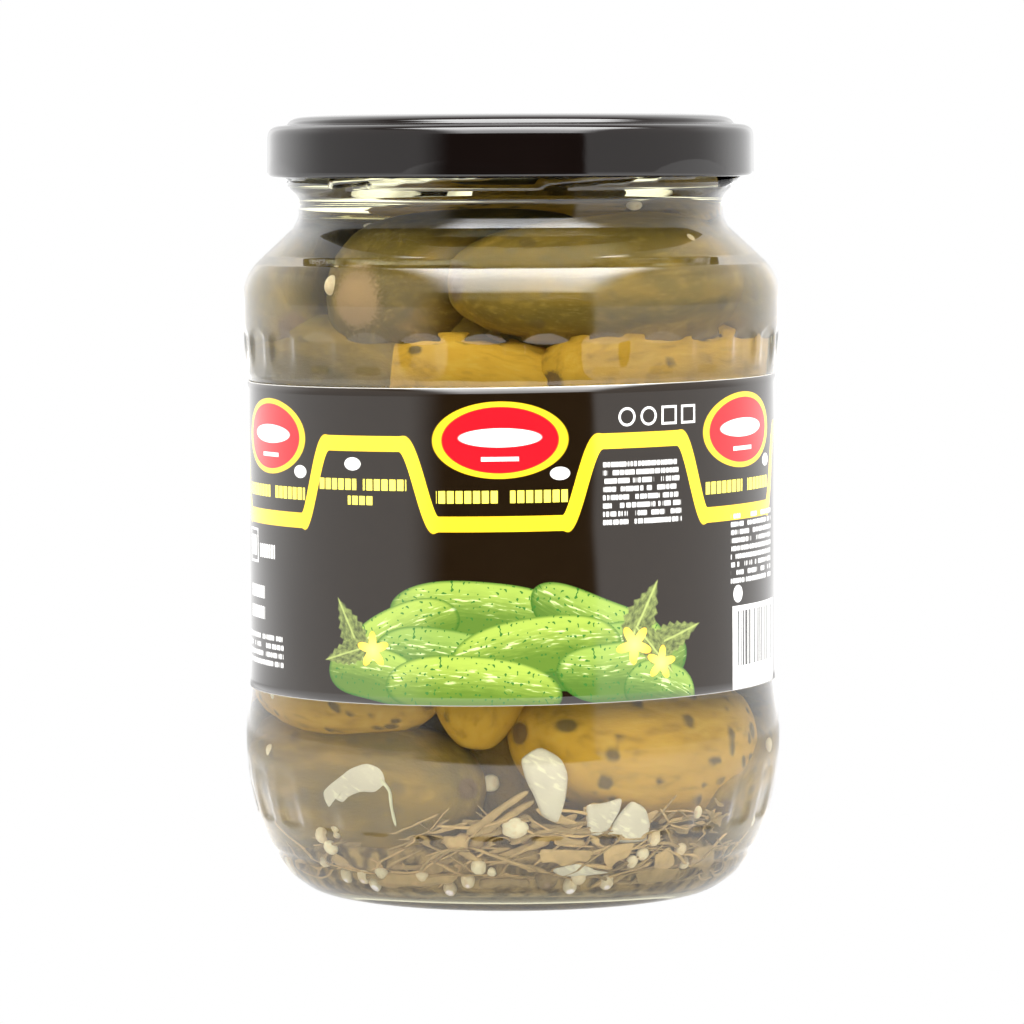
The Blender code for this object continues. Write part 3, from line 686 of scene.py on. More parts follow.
def label_print(paint):
    """The label's colours: dark ground, a waved stripe with plaques in its dips, bars and a picture."""
    u, v = label_coordinates(paint)
    flat = paint.vector(u, v)
    fibre = paint.noise(paint.vector(u * 0.35, v * 0.35), 1.0, 3.0)
    ground = paint.mix(fibre, COCOA, (0.0100, 0.0055, 0.0020, 1))

    beat = paint.math("WRAP", u - WAVE_START, WAVE_PITCH / 2, -WAVE_PITCH / 2)
    slope = (wave_height(paint, beat + 0.2) - wave_height(paint, beat - 0.2)) / 0.4
    line = abs(v - wave_height(paint, beat)) / (slope * slope + 1) ** 0.5
    plaque = paint.length(beat / PLAQUE_HALF[0], (v - PLAQUE_HEIGHT) / PLAQUE_HALF[1])
    white = paint.inside(paint.length(beat / 7.0, (v - 82.4) / 1.6) - 1, 0.08)
    under = paint.inside(paint.most(abs(beat) - 3.2, abs(v - 78.8) - 0.35), 0.1)

    def dashes(half_pitch, half_width, soft):
        """1 on upright dashes with a given pitch round the label, 0 in the gaps between them."""
        return paint.inside(abs(paint.math("WRAP", u, half_pitch, -half_pitch)) - half_width, soft)

    titles = paint.most(bars(paint, beat, v, *DIP_TITLES), bars(paint, u, v, *CREST_TITLES))
    badge = paint.length((beat - 10.2) / 1.7, (v - 76.2) / 1.1)
    seal = paint.length((u + 29.0) / 1.7, (v - 77.9) / 1.1)
    badges = paint.inside(paint.math("MINIMUM", badge, seal) - 1, 0.1)
    near = paint.math("WRAP", u - 20.2, 2.1, -2.1)
    above = v - 85.4
    circle, square = paint.length(near, above), paint.most(abs(near), abs(above))
    choice = {0: paint.rising(u, 26.2, 26.4), 2: circle, 3: square}
    shape = paint.node("Mix", {"data_type": "FLOAT"}, choice)
    symbols = ring(paint, shape - 1.4, 0.38) * bars(paint, u, v, (26.5, 85.4, 16.8, 4))
    blocks = [small_print(paint, u, v, block) for block in SMALL_PRINT]
    frame_line = ring(paint, paint.most(abs(u + 61.5) - 2.6, abs(v - 62.5) - 2.8), 0.4)
    blocks.append(small_print(paint, abs(u), v, BACK_PRINT))
    amounts = bars(paint, u, v, *AMOUNTS) * dashes(0.55, 0.38, 0.2)
    disc = paint.inside(paint.length(u - 46.3, v - 53.6) - 1.5, 0.15)
    lines = paint.rising(paint.noise(paint.vector(u * 2.4, 3.0), 1.0, 1.0, 0.8), 0.47, 0.50)
    colour = paint.layers(
        ground,
        (paint.inside(line - STRIPE_HALF, 0.15), YELLOW),
        (paint.inside(plaque - 1, 0.03), YELLOW),
        (paint.inside(plaque - 0.87, 0.03), RED),
        (paint.most(white, under), PAPER),
        (titles * dashes(0.75, 0.58, 0.15), (0.95, 0.82, 0.10, 1)),
        (paint.most(badges, symbols, *blocks, frame_line, amounts, disc), PAPER),
        (bars(paint, u, v, STRIPED_PANEL), PAPER),
        (lines * bars(paint, u, v, STRIPES), (0.03, 0.03, 0.03, 1)))

    for painted, rows in ((painted_gherkin, PICTURE), (painted_leaf, LEAVES), (painted_blossom, BLOSSOMS)):
        for row in rows:
            colour = painted(paint, colour, flat, row)

    to_edge = paint.math("MINIMUM", v - LABEL_LOW, LABEL_HIGH - v)
    bare = paint.inside(to_edge - 0.12, 0.12)
    seam = paint.inside(abs(abs(u) - math.pi * LABEL_RADIUS + 0.25) - 0.12, 0.1)
    return paint.mix(paint.most(bare, seam), colour, (0.42, 0.40, 0.36, 1))


def make_label():
    """The label: a thin closed ring with tilted edges, faintly cockled and lapped at the back."""
    columns = 360
    azimuth = round_about(columns) - 180
    tilt = LABEL_TILT * np.sin(np.radians(azimuth))
    outside = straight([(LABEL_RADIUS, LABEL_LOW), (LABEL_RADIUS, LABEL_HIGH)], 1.5)
    inside = straight([(46.45, LABEL_HIGH), (46.45, LABEL_LOW)], 14)
    r, z = upright(np.concatenate([outside, inside]))
    cockle = np.sin(np.radians(17 * azimuth) + z / 4.0) + np.sin(np.radians(9 * azimuth) - z / 6.0)
    lap = 0.10 * np.clip((azimuth - 176) / 0.8, 0, 1) * np.clip((180 - azimuth) / 0.6, 0, 1)
    radius = np.where(r > 46.6, r - 0.03 + 0.012 * cockle + lap, r + 0 * azimuth)
    points = on_wall(azimuth, radius, z + tilt).reshape(-1, 3)
    first = np.arange(columns)
    last = first + len(points) - columns
    closing = np.stack([last, np.roll(last, -1), np.roll(first, -1), first], axis=-1)
    quads = np.concatenate([grid_quads(len(z), columns), closing])
    if volume(points, np.concatenate([quads[:, :3], quads[:, [0, 2, 3]]])) < 0:
        quads = quads[:, ::-1]
    shell = Part(points, quads, np.zeros((0, 3), int), {})
    paint = material("brown_label")
    colour = label_print(paint)
    place = paint.place()
    sheen = paint.noise(place, 120.0, 3.0)
    cockles = paint.bump(paint.noise(place, 45.0, 2.0) + sheen * 0.2, 0.0004, 0.06)
    finish = paint.principled(Base_Color=colour, Roughness=0.06 + sheen * 0.06, IOR=1.5, Normal=cockles)
    return make_piece("label_sheet", [shell], finish, ["label"])


# Contents

def back_gherkins():
    """Gherkins of the sides and back, as in the solids, but the last sinks clear of the neck's light."""
    draw = random.Random(BACK_SEED)
    rows = []
    for height, first, last, count in BACK_LAYERS:
        for i in range(count):
            azimuth = first + (last - first) * (i + 0.5) / count + draw.uniform(-4, 4)
            slope = draw.uniform(6, 16) * (-1) ** i
            length = 58 * draw.uniform(0.92, 1.08)
            girth = 22.5 * draw.uniform(0.94, 1.06)
            yaw = draw.uniform(0, 10)
            tone = (0.3 + 0.37 * len(rows)) % 1
            rows.append(Gherkin(azimuth, height, slope, yaw, length, girth, 4, tone, 1.8))
    rows[-1] = rows[-1]._replace(height=103.5, slope=-rows[-1].slope)
    return rows


def wall_radius(height):
    """The inner wall's radius at a height above the floor."""
    side = glass_inner()[3:]
    return np.interp(height, side[:, 1], side[:, 0])


def pressed_inside(points):
    """Points moved towards the axis, with a soft start, until they are clear of the glass."""
    x, y, height = points[..., 0], points[..., 1], points[..., 2]
    above = np.maximum(height - SLOPE_HIGH, 0)
    limit = wall_radius(np.minimum(height, SLOPE_HIGH)) - above - CLEARANCE
    radius = np.hypot(x, y)
    scale = softly_least(radius, limit, 0.5) / np.maximum(radius, 1e-6)
    return np.stack([x * scale, y * scale, np.maximum(height, CORE_LOW + CLEARANCE)], axis=-1)


def gherkin_part(gherkin, seed):
    """One gherkin: a sphere drawn out to a blunt, bowed body with ridges, warts and scarred ends.

    The station runs from -1 to 1 along it, as the cosine of the polar angle to the power 0.8. The girth
    at a station is the sine of that angle, times a taper, slow waves along and round it, and seven faint
    ridges. Each wart is a Gaussian hump, and each end is a shallow dimple round a small raised scar.
    """
    draw = np.random.default_rng(seed)
    rows, columns, warts = 58, 64, 110
    polar = np.linspace(0, np.pi, rows + 2)
    turns = np.linspace(0, 2 * np.pi, columns, endpoint=False)
    polar, theta = np.meshgrid(polar, turns, indexing="ij")
    station = np.sign(np.cos(polar)) * np.abs(np.cos(polar)) ** 0.8
    ring_size = np.sin(polar)
    phases = draw.uniform(0, 2 * np.pi, 8)
    girth = 1 + 0.05 * draw.uniform(-1, 1) * station + 0.035 * np.sin(4.5 * station + phases[0])
    girth += 0.030 * np.cos(2 * theta + phases[1]) + 0.018 * np.cos(3 * theta + 3 * station + phases[2])
    girth += 0.012 * np.cos(7 * theta + 1.5 * np.sin(2 * station) + phases[3]) * (1 - station ** 4)
    half_length, half_girth = gherkin.length / 2, gherkin.girth / 2
    wart = np.zeros_like(girth)
    ranges = ((-0.85, 0.85), (0, 2 * np.pi), (0.45, 0.95), (0.3, 1.0))
    for at, turn, width, height in zip(*(draw.uniform(*ends, warts) for ends in ranges)):
        along = (station - at) * half_length
        around = ((theta - turn + np.pi) % (2 * np.pi) - np.pi) * half_girth * ring_size
        wart = np.maximum(wart, height * np.exp(-(along ** 2 + around ** 2) / (2 * width ** 2)))
    radius = half_girth * ring_size * girth + WART_RISE * wart * np.minimum(ring_size * 2, 1)
    near_end = np.abs(station) > 0.8
    scar = np.exp(-(radius / gherkin.scar) ** 2) * near_end
    nub = np.exp(-(radius / (0.4 * gherkin.scar)) ** 2) * near_end
    along = station * half_length - np.sign(station) * (1.1 * scar - 0.9 * nub)

    azimuth, slope = math.radians(gherkin.azimuth), math.radians(gherkin.slope)
    heading = azimuth + math.radians(gherkin.yaw)
    outwards = np.array([math.sin(azimuth), -math.cos(azimuth), 0])
    level = math.cos(slope)
    axis = np.array([math.cos(heading) * level, math.sin(heading) * level, math.sin(slope)])
    beside = outwards if abs(axis @ outwards) < 0.9 else np.array([0.0, 0.0, 1.0])
    side = np.cross(axis, beside)
    side /= np.linalg.norm(side)
    third = np.cross(side, axis)
    end_on = math.sin(math.radians(gherkin.yaw)) * level
    reach = half_length * end_on + half_girth * (1 - end_on)
    radius_in = CAVITY_RADIUS - reach - abs(gherkin.bend) / 2 - gherkin.inset
    middle = outwards * radius_in + np.array([0, 0, gherkin.height])
    x, y = radius * np.cos(theta), radius * np.sin(theta)
    bow = gherkin.bend * (0.5 - station ** 2)
    local = np.stack([x, y, along], axis=-1)
    world = pressed_inside(middle + local @ np.array([side, third, axis]) + bow[..., None] * outwards)
    skin = np.stack([x, y, along / SKIN_DRAWN_OUT], axis=-1) + draw.uniform(-200, 200, 3)

    def flat(values):
        """Values in the order of the shell's points: the rows between the poles, then each pole."""
        inner = values[1:-1].reshape(-1, *values.shape[2:])
        return np.concatenate([inner, values[0:1].mean(axis=1), values[-1:].mean(axis=1)])

    marks = {"tone": np.full_like(radius, gherkin.tone), "wart": wart, "scar": scar, "skin": skin}
    marks = {name: flat(values) for name, values in marks.items()}
    return closed_part(world[1:-1], world[0].mean(axis=0), world[-1].mean(axis=0), **marks)


def skin_finish():
    """Pickled gherkin skin: olive to gold, pale streaks along it, grey-tipped warts and brown end scars."""
    paint = material("gherkin_skin")
    skin = paint.mark("skin", "Vector")
    tone, wart, scar = paint.mark("tone"), paint.mark("wart"), paint.mark("scar")
    cloud = paint.noise(skin, 0.10, 3.0, 0.6)
    streak = paint.noise(skin, 0.55, 4.0, 0.6)
    fine = paint.noise(skin, 2.4, 3.0)
    share = paint.rising(tone + (cloud - 0.5) * 1.1, 0.05, 0.95)
    spots = paint.rising(wart, 0.15, 0.55) * (paint.rising(tone, 0.6, 0.85) * 0.35 + 0.5)
    cork = paint.mix(paint.rising(tone, 0.13, 0.16), (0.38, 0.25, 0.15, 1), (0.17, 0.105, 0.06, 1))
    colour = paint.layers(
        paint.mix(share, (0.165, 0.118, 0.032, 1), (0.62, 0.37, 0.052, 1)),
        (paint.rising(streak, 0.50, 0.70) * (tone * 0.35 + 0.08), (0.70, 0.48, 0.11, 1)),
        (paint.rising(streak, 0.50, 0.32) * 0.30, (0.12, 0.085, 0.022, 1)),
        (paint.rising(fine, 0.55, 0.72) * 0.15, (0.60, 0.45, 0.16, 1)),
        (spots, (0.115, 0.085, 0.045, 1)),
        (paint.rising(scar + (fine - 0.5) * 0.5, 0.15, 0.5) * 0.9, cork))
    pores = paint.bump(fine * 0.4 + streak, 0.0005, 0.3)
    inputs = {"Roughness": 0.42 + fine * 0.2, "IOR": 1.4, "Specular_IOR_Level": 0.12}
    return paint.principled(Base_Color=colour, Normal=pores, **inputs)


def make_gherkins():
    rows = [*FRONT_GHERKINS, *back_gherkins()]
    parts = [gherkin_part(row, 100 + i) for i, row in enumerate(rows)]
    return make_piece("gherkins", parts, skin_finish(), ["pickle_heap"])


def make_core():
    """The hidden middle of the heap: a lumpy turned column on a bed of shreds. Above the bed its dark
    olive, darker than the gherkins' skin, is painted shade of the heap's depths.
    """
    column = [(4, 108.8), (15, 105.0), (24, 98), (29, 88), (30, 60), (30, 30), (31.5, 18), (36, 14.6)]
    bed = [(36, 14.6), (38.6, 12.6), (38.9, 8.6), (37.2, 5.9), (34.8, 4.5), (32, 4.2)]
    under = straight([(32, 4.2), (19.5, 5.3), (4, 5.85)], 5)
    r, z = upright(joined(curve(column, 2.5), curve(bed, 0.8), under))
    azimuth = round_about(96)
    turn = np.radians(azimuth)
    lumps = np.sin(3 * turn + z / 7) + 0.7 * np.sin(5 * turn - z / 5 + 2) + 0.4 * np.sin(11 * turn + z / 3)
    rows = on_wall(azimuth, r + lumps * ramp(r, 4, 25) * ramp(z, 8, 12), z)
    shell = closed_part(rows, (0, 0, 109), (0, 0, 5.9))
    paint = material("deep_gherkins_in_painted_shade")
    place = paint.place()
    cloud = paint.noise(place, 55.0, 4.0, 0.6)
    fine = paint.noise(place, 400.0, 3.0)
    _, _, z = paint.parts(place)
    # Painted shade: dark olive, darker than any gherkin's skin, where the gaps between the gherkins show
    # the heap's depths
    colour = paint.mix(paint.rising(cloud, 0.3, 0.7), (0.045, 0.028, 0.006, 1), (0.26, 0.16, 0.035, 1))
    shreds = paint.mix(paint.rising(fine, 0.35, 0.65), (0.14, 0.09, 0.035, 1), (0.50, 0.35, 0.17, 1))
    colour = paint.mix(paint.rising(z, 0.019, 0.013), colour, shreds)
    finish = paint.matt(colour, 0.6, fine + cloud, 0.002, 0.6)
    return make_piece("heap_core", [shell], finish, ["pickle_heap"])


# Small things against the glass, at azimuths in degrees and heights in millimetres.
# Mustard seeds that the front shows: azimuth, height and radius
FRONT_SEEDS = (
    (-44.8, 107.1, 1.25), (-58.1, 114.6, 1.2), (40.3, 121.6, 1.35), (53.8, 113.5, 1.25), (-68.1, 35.9, 1.2),
    (-46.6, 6.4, 1.2), (-40.5, 6.6, 1.25), (-34.3, 7.6, 1.3), (-38.0, 5.6, 1.2), (-22.9, 7.4, 1.25),
    (-11.4, 6.8, 1.3), (-16.5, 5.4, 1.2), (-8.4, 9.3, 1.3), (-5.2, 8.4, 0.8), (-45.3, 14.1, 1.1),
    (-48.4, 11.2, 1.45), (-52.9, 8.3, 1.2), (-50.9, 13.0, 1.2), (-6.5, 22.8, 1.5), (0.4, 16.0, 1.85),
    (46.6, 17.1, 1.2), (71.4, 13.7, 1.0), (34.5, 13.1, 1.2), (31.9, 10.7, 1.3), (29.2, 9.6, 1.05),
    (43.0, 10.9, 1.25), (46.0, 8.2, 1.2), (16.2, 7.2, 1.3), (14.4, 5.7, 1.2), (24.0, 6.1, 1.3),
)
# Garlic and the pale piece of dill root at the left: outlines, then how far inwards and how thick
GARLIC = (
    (((1.6, 27.6), (2.5, 24.7), (4.6, 21.0), (6.5, 18.0), (10.6, 16.5), (12.2, 21.1), (12.3, 25.1),
      (10.8, 27.6), (6.0, 29.5)), 0.3, 3.0),
    (((16.6, 19.7), (20.7, 19.9), (25.6, 20.6), (25.2, 18.2), (22.6, 15.4), (20.1, 13.5), (16.6, 14.3)),
     0.5, 2.4),
    (((27.6, 20.0), (30.6, 19.0), (33.0, 15.6), (32.6, 13.0), (27.0, 12.9), (22.2, 13.6), (24.0, 16.7)),
     0.25, 2.6),
    (((9.0, 8.9), (15.3, 9.6), (24.0, 7.8), (17.0, 7.2), (11.7, 7.4)), 0.3, 0.8),
    (((-47.4, 20.5), (-43.3, 22.7), (-38.2, 25.2), (-33.8, 26.3), (-30.0, 25.5), (-28.9, 23.2),
      (-31.7, 21.2), (-35.7, 21.4), (-39.5, 20.3), (-41.3, 18.9), (-43.4, 20.2), (-45.9, 17.8)), 0.15, 0.5),
)
# Flat bits of herb that the front shows, the same way, and their tone from dark (0) to pale tan (1)
HERB_FLAPS = (
    (((6.0, 12.4), (12.0, 12.2), (18.6, 11.8), (17.7, 9.6), (14.5, 10.2), (11.5, 9.0), (9.5, 10.0),
      (6.2, 9.8)), 0.3, 0.5, 0.85),
    (((21.0, 12.6), (29.0, 12.9), (27.8, 10.3), (25.0, 9.6), (23.2, 8.5), (21.5, 9.7)), 0.4, 0.5, 0.95),
    (((47.0, 10.8), (53.9, 10.9), (58.3, 7.4), (56.8, 6.0), (48.0, 7.4)), 0.5, 0.6, 0.6),
    (((31.0, 7.0), (36.1, 8.3), (45.6, 7.0), (44.0, 5.6), (33.5, 5.5)), 0.4, 1.0, 0.6),
    (((35.0, 10.2), (39.0, 11.6), (42.0, 8.6), (40.5, 7.4), (36.0, 8.0)), 0.5, 0.5, 0.9),
)
# Stalks: places (azimuth, how far inwards, height) from end to end, the radii of the ends and the tone
STALKS = (
    (((-37.2, 1.7, 6.3), (-25.0, 1.6, 6.8), (-13.9, 1.6, 7.3)), (1.35, 1.10), 0.80),
    (((-16.2, 1.4, 13.3), (-13.5, 1.7, 13.4), (-10.4, 2.0, 13.6)), (0.80, 1.75), 1.00),
    (((-11.2, 1.3, 14.8), (-5.0, 1.4, 18.0), (3.4, 1.6, 22.2)), (0.85, 0.45), 0.75),
    (((-10.8, 1.6, 13.9), (-4.0, 1.8, 16.6), (4.6, 2.0, 20.6)), (0.80, 0.50), 0.60),
    (((-10.4, 1.6, 13.0), (-4.0, 2.1, 15.0), (3.4, 2.4, 18.2)), (0.90, 0.50), 0.50),
    (((-12.6, 1.3, 12.4), (-10.0, 1.3, 11.0), (-6.8, 1.5, 9.8)), (0.90, 0.40), 0.70),
    (((-1.0, 1.6, 13.4), (8.0, 1.4, 15.4), (19.0, 1.5, 15.0)), (0.55, 0.65), 0.55),
    (((2.0, 1.2, 12.2), (9.0, 1.2, 13.7), (17.0, 1.3, 13.2)), (0.50, 0.60), 0.75),
    (((3.0, 2.0, 16.6), (10.0, 2.0, 16.0), (19.0, 2.0, 17.0)), (0.60, 0.50), 0.40),
    (((-8.8, 1.0, 5.9), (-3.0, 1.2, 6.6), (4.0, 1.3, 6.2)), (0.80, 0.55), 0.55),
    (((-43.0, 0.7, 5.8), (-38.0, 0.6, 6.5), (-32.5, 0.7, 6.4)), (0.28, 0.40), 0.45),
    (((34.0, 0.7, 12.4), (38.0, 0.6, 12.3), (42.5, 0.8, 11.2)), (0.28, 0.34), 0.60),
    (((37.2, 0.9, 15.2), (38.6, 0.7, 13.2), (40.4, 0.7, 11.4)), (0.22, 0.26), 0.70),
    # Not a stalk: a thin whitish strip with tone above 1.2, a painted glint that stands in for a bright
    # reflection
    (((-30.4, 0.15, 23.9), (-28.2, 0.15, 21.9), (-27.9, 0.15, 19.6), (-27.2, 0.15, 15.8)),
     (0.30, 0.20), 1.60),
)
ALLSPICE = ((8.3, 7.4, 2.1), (200.0, 8.0, 2.1))
# Shreds and fibres of herb: how many in all, and how many of them lie in front
SHREDS, FRONT_SHREDS = 130, 66
FIBRES, FRONT_FIBRES = 190, 110


def laid_on(tree, azimuth, height, size):
    """How far from the axis a small thing rests on the heap, a little sunk into what carries it."""
    wall = float(wall_radius(height))
    start = Vector(on_wall(azimuth, wall - 0.2, height))
    hit = tree.ray_cast(start, -Vector(on_wall(azimuth, 1.0, 0.0)))[0]
    found = math.hypot(hit.x, hit.y) if hit is not None else 30.0
    return min(found + size * 0.6, wall - CLEARANCE - size)


def ball_part(centre, radii, turn, seed):
    """An uneven ball: a sphere stretched on three axes, with slow waves round it, turned about Z."""
    draw = np.random.default_rng(seed)
    polar = np.linspace(0, np.pi, 11)[:, None]
    theta = np.linspace(0, 2 * np.pi, 16, endpoint=False)[None, :]
    swell = 1 + 0.04 * np.cos(2 * theta + draw.uniform(0, 6)) * np.sin(polar)
    x = radii[0] * np.sin(polar) * np.cos(theta) * swell
    y = radii[1] * np.sin(polar) * np.sin(theta) * swell
    z = np.broadcast_to(radii[2] * np.cos(polar), x.shape)
    c, s = math.cos(turn), math.sin(turn)
    grid = np.stack([c * x - s * y, s * x + c * y, z], axis=-1) + centre
    return shaded_part(grid[1:-1], grid[0].mean(axis=0), grid[-1].mean(axis=0), draw.uniform(0, 1))


def slab_part(outline, inset, thick, shade, seed, columns=40):
    """A pad with a given outline that follows the glass: the outline shrinks to its middle at both faces.

    The outline is a closed line of (azimuth, height) points with its corners rounded a little. The rows
    run over an angle from the inner face to the outer one: its sine to the power 0.4 is the outline's
    scale, and its cosine the depth, with a fine unevenness on the faces.
    """
    draw = np.random.default_rng(seed)
    corners = np.array([*outline, outline[0]], float)
    at = np.concatenate([[0.0], np.cumsum(np.linalg.norm(np.diff(corners, axis=0) * (0.75, 1), axis=1))])
    even = np.linspace(0, at[-1], columns, endpoint=False)
    line = np.stack([np.interp(even, at, corners[:, i]) for i in (0, 1)], axis=-1)
    line = 0.5 * line + 0.25 * (np.roll(line, 1, axis=0) + np.roll(line, -1, axis=0))
    middle = line.mean(axis=0)
    turn = np.linspace(0, np.pi, 12)[:, None]
    scale = np.sin(turn) ** 0.4
    azimuth = middle[0] + (line[:, 0] - middle[0]) * scale
    height = middle[1] + (line[:, 1] - middle[1]) * scale
    wave = np.sin(azimuth * 0.5 + draw.uniform(0, 6)) * np.sin(height * 0.9 + draw.uniform(0, 6))
    depth = -np.cos(turn) * thick / 2 * (0.85 + 0.15 * wave)
    grid = on_wall(azimuth, wall_radius(height) - WALL_GAP - inset - thick / 2 + depth, height)
    return shaded_part(grid[1:-1], grid[0].mean(axis=0), grid[-1].mean(axis=0), shade)


def rod_part(places, radii, shade, seed, columns=14):
    """A stalk along a smooth line of places, with ribs round it and uneven girth; its ends are rounded."""
    draw = np.random.default_rng(seed)
    azimuth, inset, height = np.array(places, float).T
    line = curve(on_wall(azimuth, wall_radius(height) - WALL_GAP - inset, height), 0.45)
    share = np.linspace(0, 1, len(line))[:, None]
    ends = np.minimum(np.sqrt(np.clip(1 - (2 * share - 1) ** 8, 0, 1)) + 0.02, 1)
    theta = np.linspace(0, 2 * np.pi, columns, endpoint=False)[None, :]
    uneven = 1 + 0.10 * np.sin(share * 17 + draw.uniform(0, 6)) + 0.07 * np.cos(5 * theta + 3 * share)
    size = (radii[0] + (radii[1] - radii[0]) * share) * uneven * ends
    along = np.gradient(line, axis=0)
    along /= np.linalg.norm(along, axis=1, keepdims=True)
    outwards = line * (1, 1, 0)
    across = np.cross(along, outwards)
    across /= np.linalg.norm(across, axis=1, keepdims=True)
    third = np.cross(across, along)
    spread = across[:, None] * np.cos(theta)[..., None] + third[:, None] * np.sin(theta)[..., None]
    return shaded_part(line[:, None] + spread * size[..., None], line[0], line[-1], shade)


def make_seeds(tree):
    """Mustard seeds: those the front shows, then others all round the bed and in the gaps of the heap."""
    draw = np.random.default_rng(5)
    places = list(FRONT_SEEDS)
    for azimuth in np.linspace(78, 292, 36):
        height = draw.uniform(6.0, 14.0) if draw.uniform() < 0.75 else draw.choice([26.0, 98.0, 112.0])
        places.append((azimuth + draw.uniform(-3, 3), height, draw.uniform(1.15, 1.4)))
    parts = []
    for i, (azimuth, height, size) in enumerate(places):
        height = max(height, 4.1 + size)
        radius = laid_on(tree, azimuth, height, size)
        if i < len(FRONT_SEEDS) and height < 20:
            radius = float(wall_radius(height)) - 0.25 - size
        centre = on_wall(azimuth, radius, height)
        parts.append(ball_part(centre, size * draw.uniform(0.94, 1.06, 3), draw.uniform(0, 6), i))
    paint = material("mustard_seed")
    cloud = paint.noise(paint.place(), 900.0, 3.0)
    colour = paint.mix(paint.mark("shade"), (0.97, 0.82, 0.70, 1), (1.0, 0.93, 0.86, 1))
    colour = paint.multiply(colour, (0.90, 0.84, 0.76, 1), paint.rising(cloud, 0.45, 0.7))
    finish = paint.matt(colour, 0.5, cloud, 0.0002, 0.4)
    return make_piece("mustard_seeds", parts, finish, ["pickle_heap"])


def make_garlic():
    """Slivers of garlic: whitish, with faint pale lines. The three largest come again at the back."""
    rows = [*GARLIC, *(([(a + turn, z) for a, z in line], inset, thick)
                       for turn in (128, 205) for line, inset, thick in GARLIC[:3])]
    parts = [slab_part(line, inset, thick, 0.5, 40 + i) for i, (line, inset, thick) in enumerate(rows)]
    paint = material("garlic")
    x, y, z = paint.parts(paint.place())
    veins = paint.noise(paint.vector(x * 500, y * 500, z * 1500 + x * 700), 1.0, 3.0)
    cloud = paint.noise(paint.place(), 160.0, 2.0)
    colour = paint.mix(cloud, (0.66, 0.62, 0.66, 1), (0.88, 0.84, 0.86, 1))
    colour = paint.mix(paint.rising(veins, 0.54, 0.66) * 0.7, colour, (1.0, 0.98, 0.98, 1))
    finish = paint.matt(colour, 0.45, veins, 0.0003, 0.3)
    return make_piece("garlic_slivers", parts, finish, ["pickle_heap"])


def make_herbs():
    """Dill stalks and shreds of herb in a loose mass low in the jar, two allspice berries, and a thin
    whitish strip that is a painted glint.

    A shred is a slab whose outline is seven points at uneven distances round an ellipse, turned anyhow.
    """
    parts = [slab_part(*row, 60 + i) for i, row in enumerate(HERB_FLAPS)]
    parts += [rod_part(*row, 80 + i) for i, row in enumerate(STALKS)]
    draw = np.random.default_rng(11)
    for i in range(SHREDS):
        azimuth = draw.uniform(-24, 66) if i < FRONT_SHREDS else draw.uniform(66, 336)
        height = 6.2 + 12.5 * draw.uniform() ** 1.4
        if abs(azimuth) < 24:
            height += 2.5 * draw.uniform()
        round_it = np.arange(7) * 2 * np.pi / 7 + draw.uniform(-0.3, 0.3, 7)
        reach = draw.uniform(0.55, 1.2, 7)
        long, wide = draw.uniform(2.2, 6.0), draw.uniform(0.4, 1.5)
        x, y = long * reach * np.cos(round_it), wide * reach * np.sin(round_it)
        turn = draw.uniform(-0.6, 0.6)
        u, v = x * math.cos(turn) - y * math.sin(turn), x * math.sin(turn) + y * math.cos(turn)
        line = np.stack([azimuth + u * 1.35, np.maximum(height + v, 5.2)], axis=-1)
        inset, tone = draw.uniform(1.4, 3.6), draw.uniform(0.25, 1.1)
        parts.append(slab_part(line, inset, 0.5, tone, 200 + i, columns=24))
    for i in range(FIBRES):
        azimuth = draw.uniform(-30, 64) if i < FRONT_FIBRES else draw.uniform(64, 330)
        height = 6.0 + 11.5 * draw.uniform() ** 1.3
        climb, sag, span = draw.uniform(-3.0, 3.6), draw.uniform(-1.2, 1.2), draw.uniform(4.0, 9.5)
        inset = draw.uniform(0.3, 2.4)
        heights = [max(height + climb * s + sag * (1 - s * s), 5.4) for s in (-1, 0, 1)]
        places = [(azimuth + span * s, inset, z) for s, z in zip((-1, 0, 1), heights)]
        radii, tone = draw.uniform(0.12, 0.34, 2), draw.uniform(0.35, 1.15)
        parts.append(rod_part(places, radii, tone, 500 + i, columns=7))
    for azimuth, height, size in ALLSPICE:
        radius = float(wall_radius(height)) - CLEARANCE - size
        parts.append(ball_part(on_wall(azimuth, radius, height), np.full(3, size), 0.0, 9))
    paint = material("herb")
    tone = paint.mark("shade")
    place = paint.place()
    cloud = paint.noise(place, 500.0, 3.0, 0.6)
    share = paint.math("ADD", tone, (cloud - 0.5) * 0.8, clamp=True)
    colour = paint.mix(share, (0.13, 0.085, 0.035, 1), (0.70, 0.50, 0.29, 1))
    # Tones above 1.2 turn whitish: the painted glint among the stalks
    colour = paint.mix(paint.rising(tone, 1.2, 1.5), colour, (0.85, 0.86, 0.80, 1))
    finish = paint.matt(colour, 0.5, cloud, 0.0005, 0.5)
    return make_piece("dill_and_herbs", parts, finish, ["pickle_heap"])


# Camera and light

CAMERA_PLACE = (0, -0.930, 0.1308)
CAMERA_LENS = 184.4
CAMERA_DOWN = 3.948
CAMERA_ROLL = -0.25
# Strength of the soft box at its lower edge and overhead
BOX_FOOT = 5.5
BOX_TOP = 15.0
# Brightness of the sheet: behind the jar and before it, and far from it beside and behind
NEAR_BACK, NEAR_FRONT = 0.70, 2.60
FAR_SIDE, FAR_BACK = 1.60, 1.75


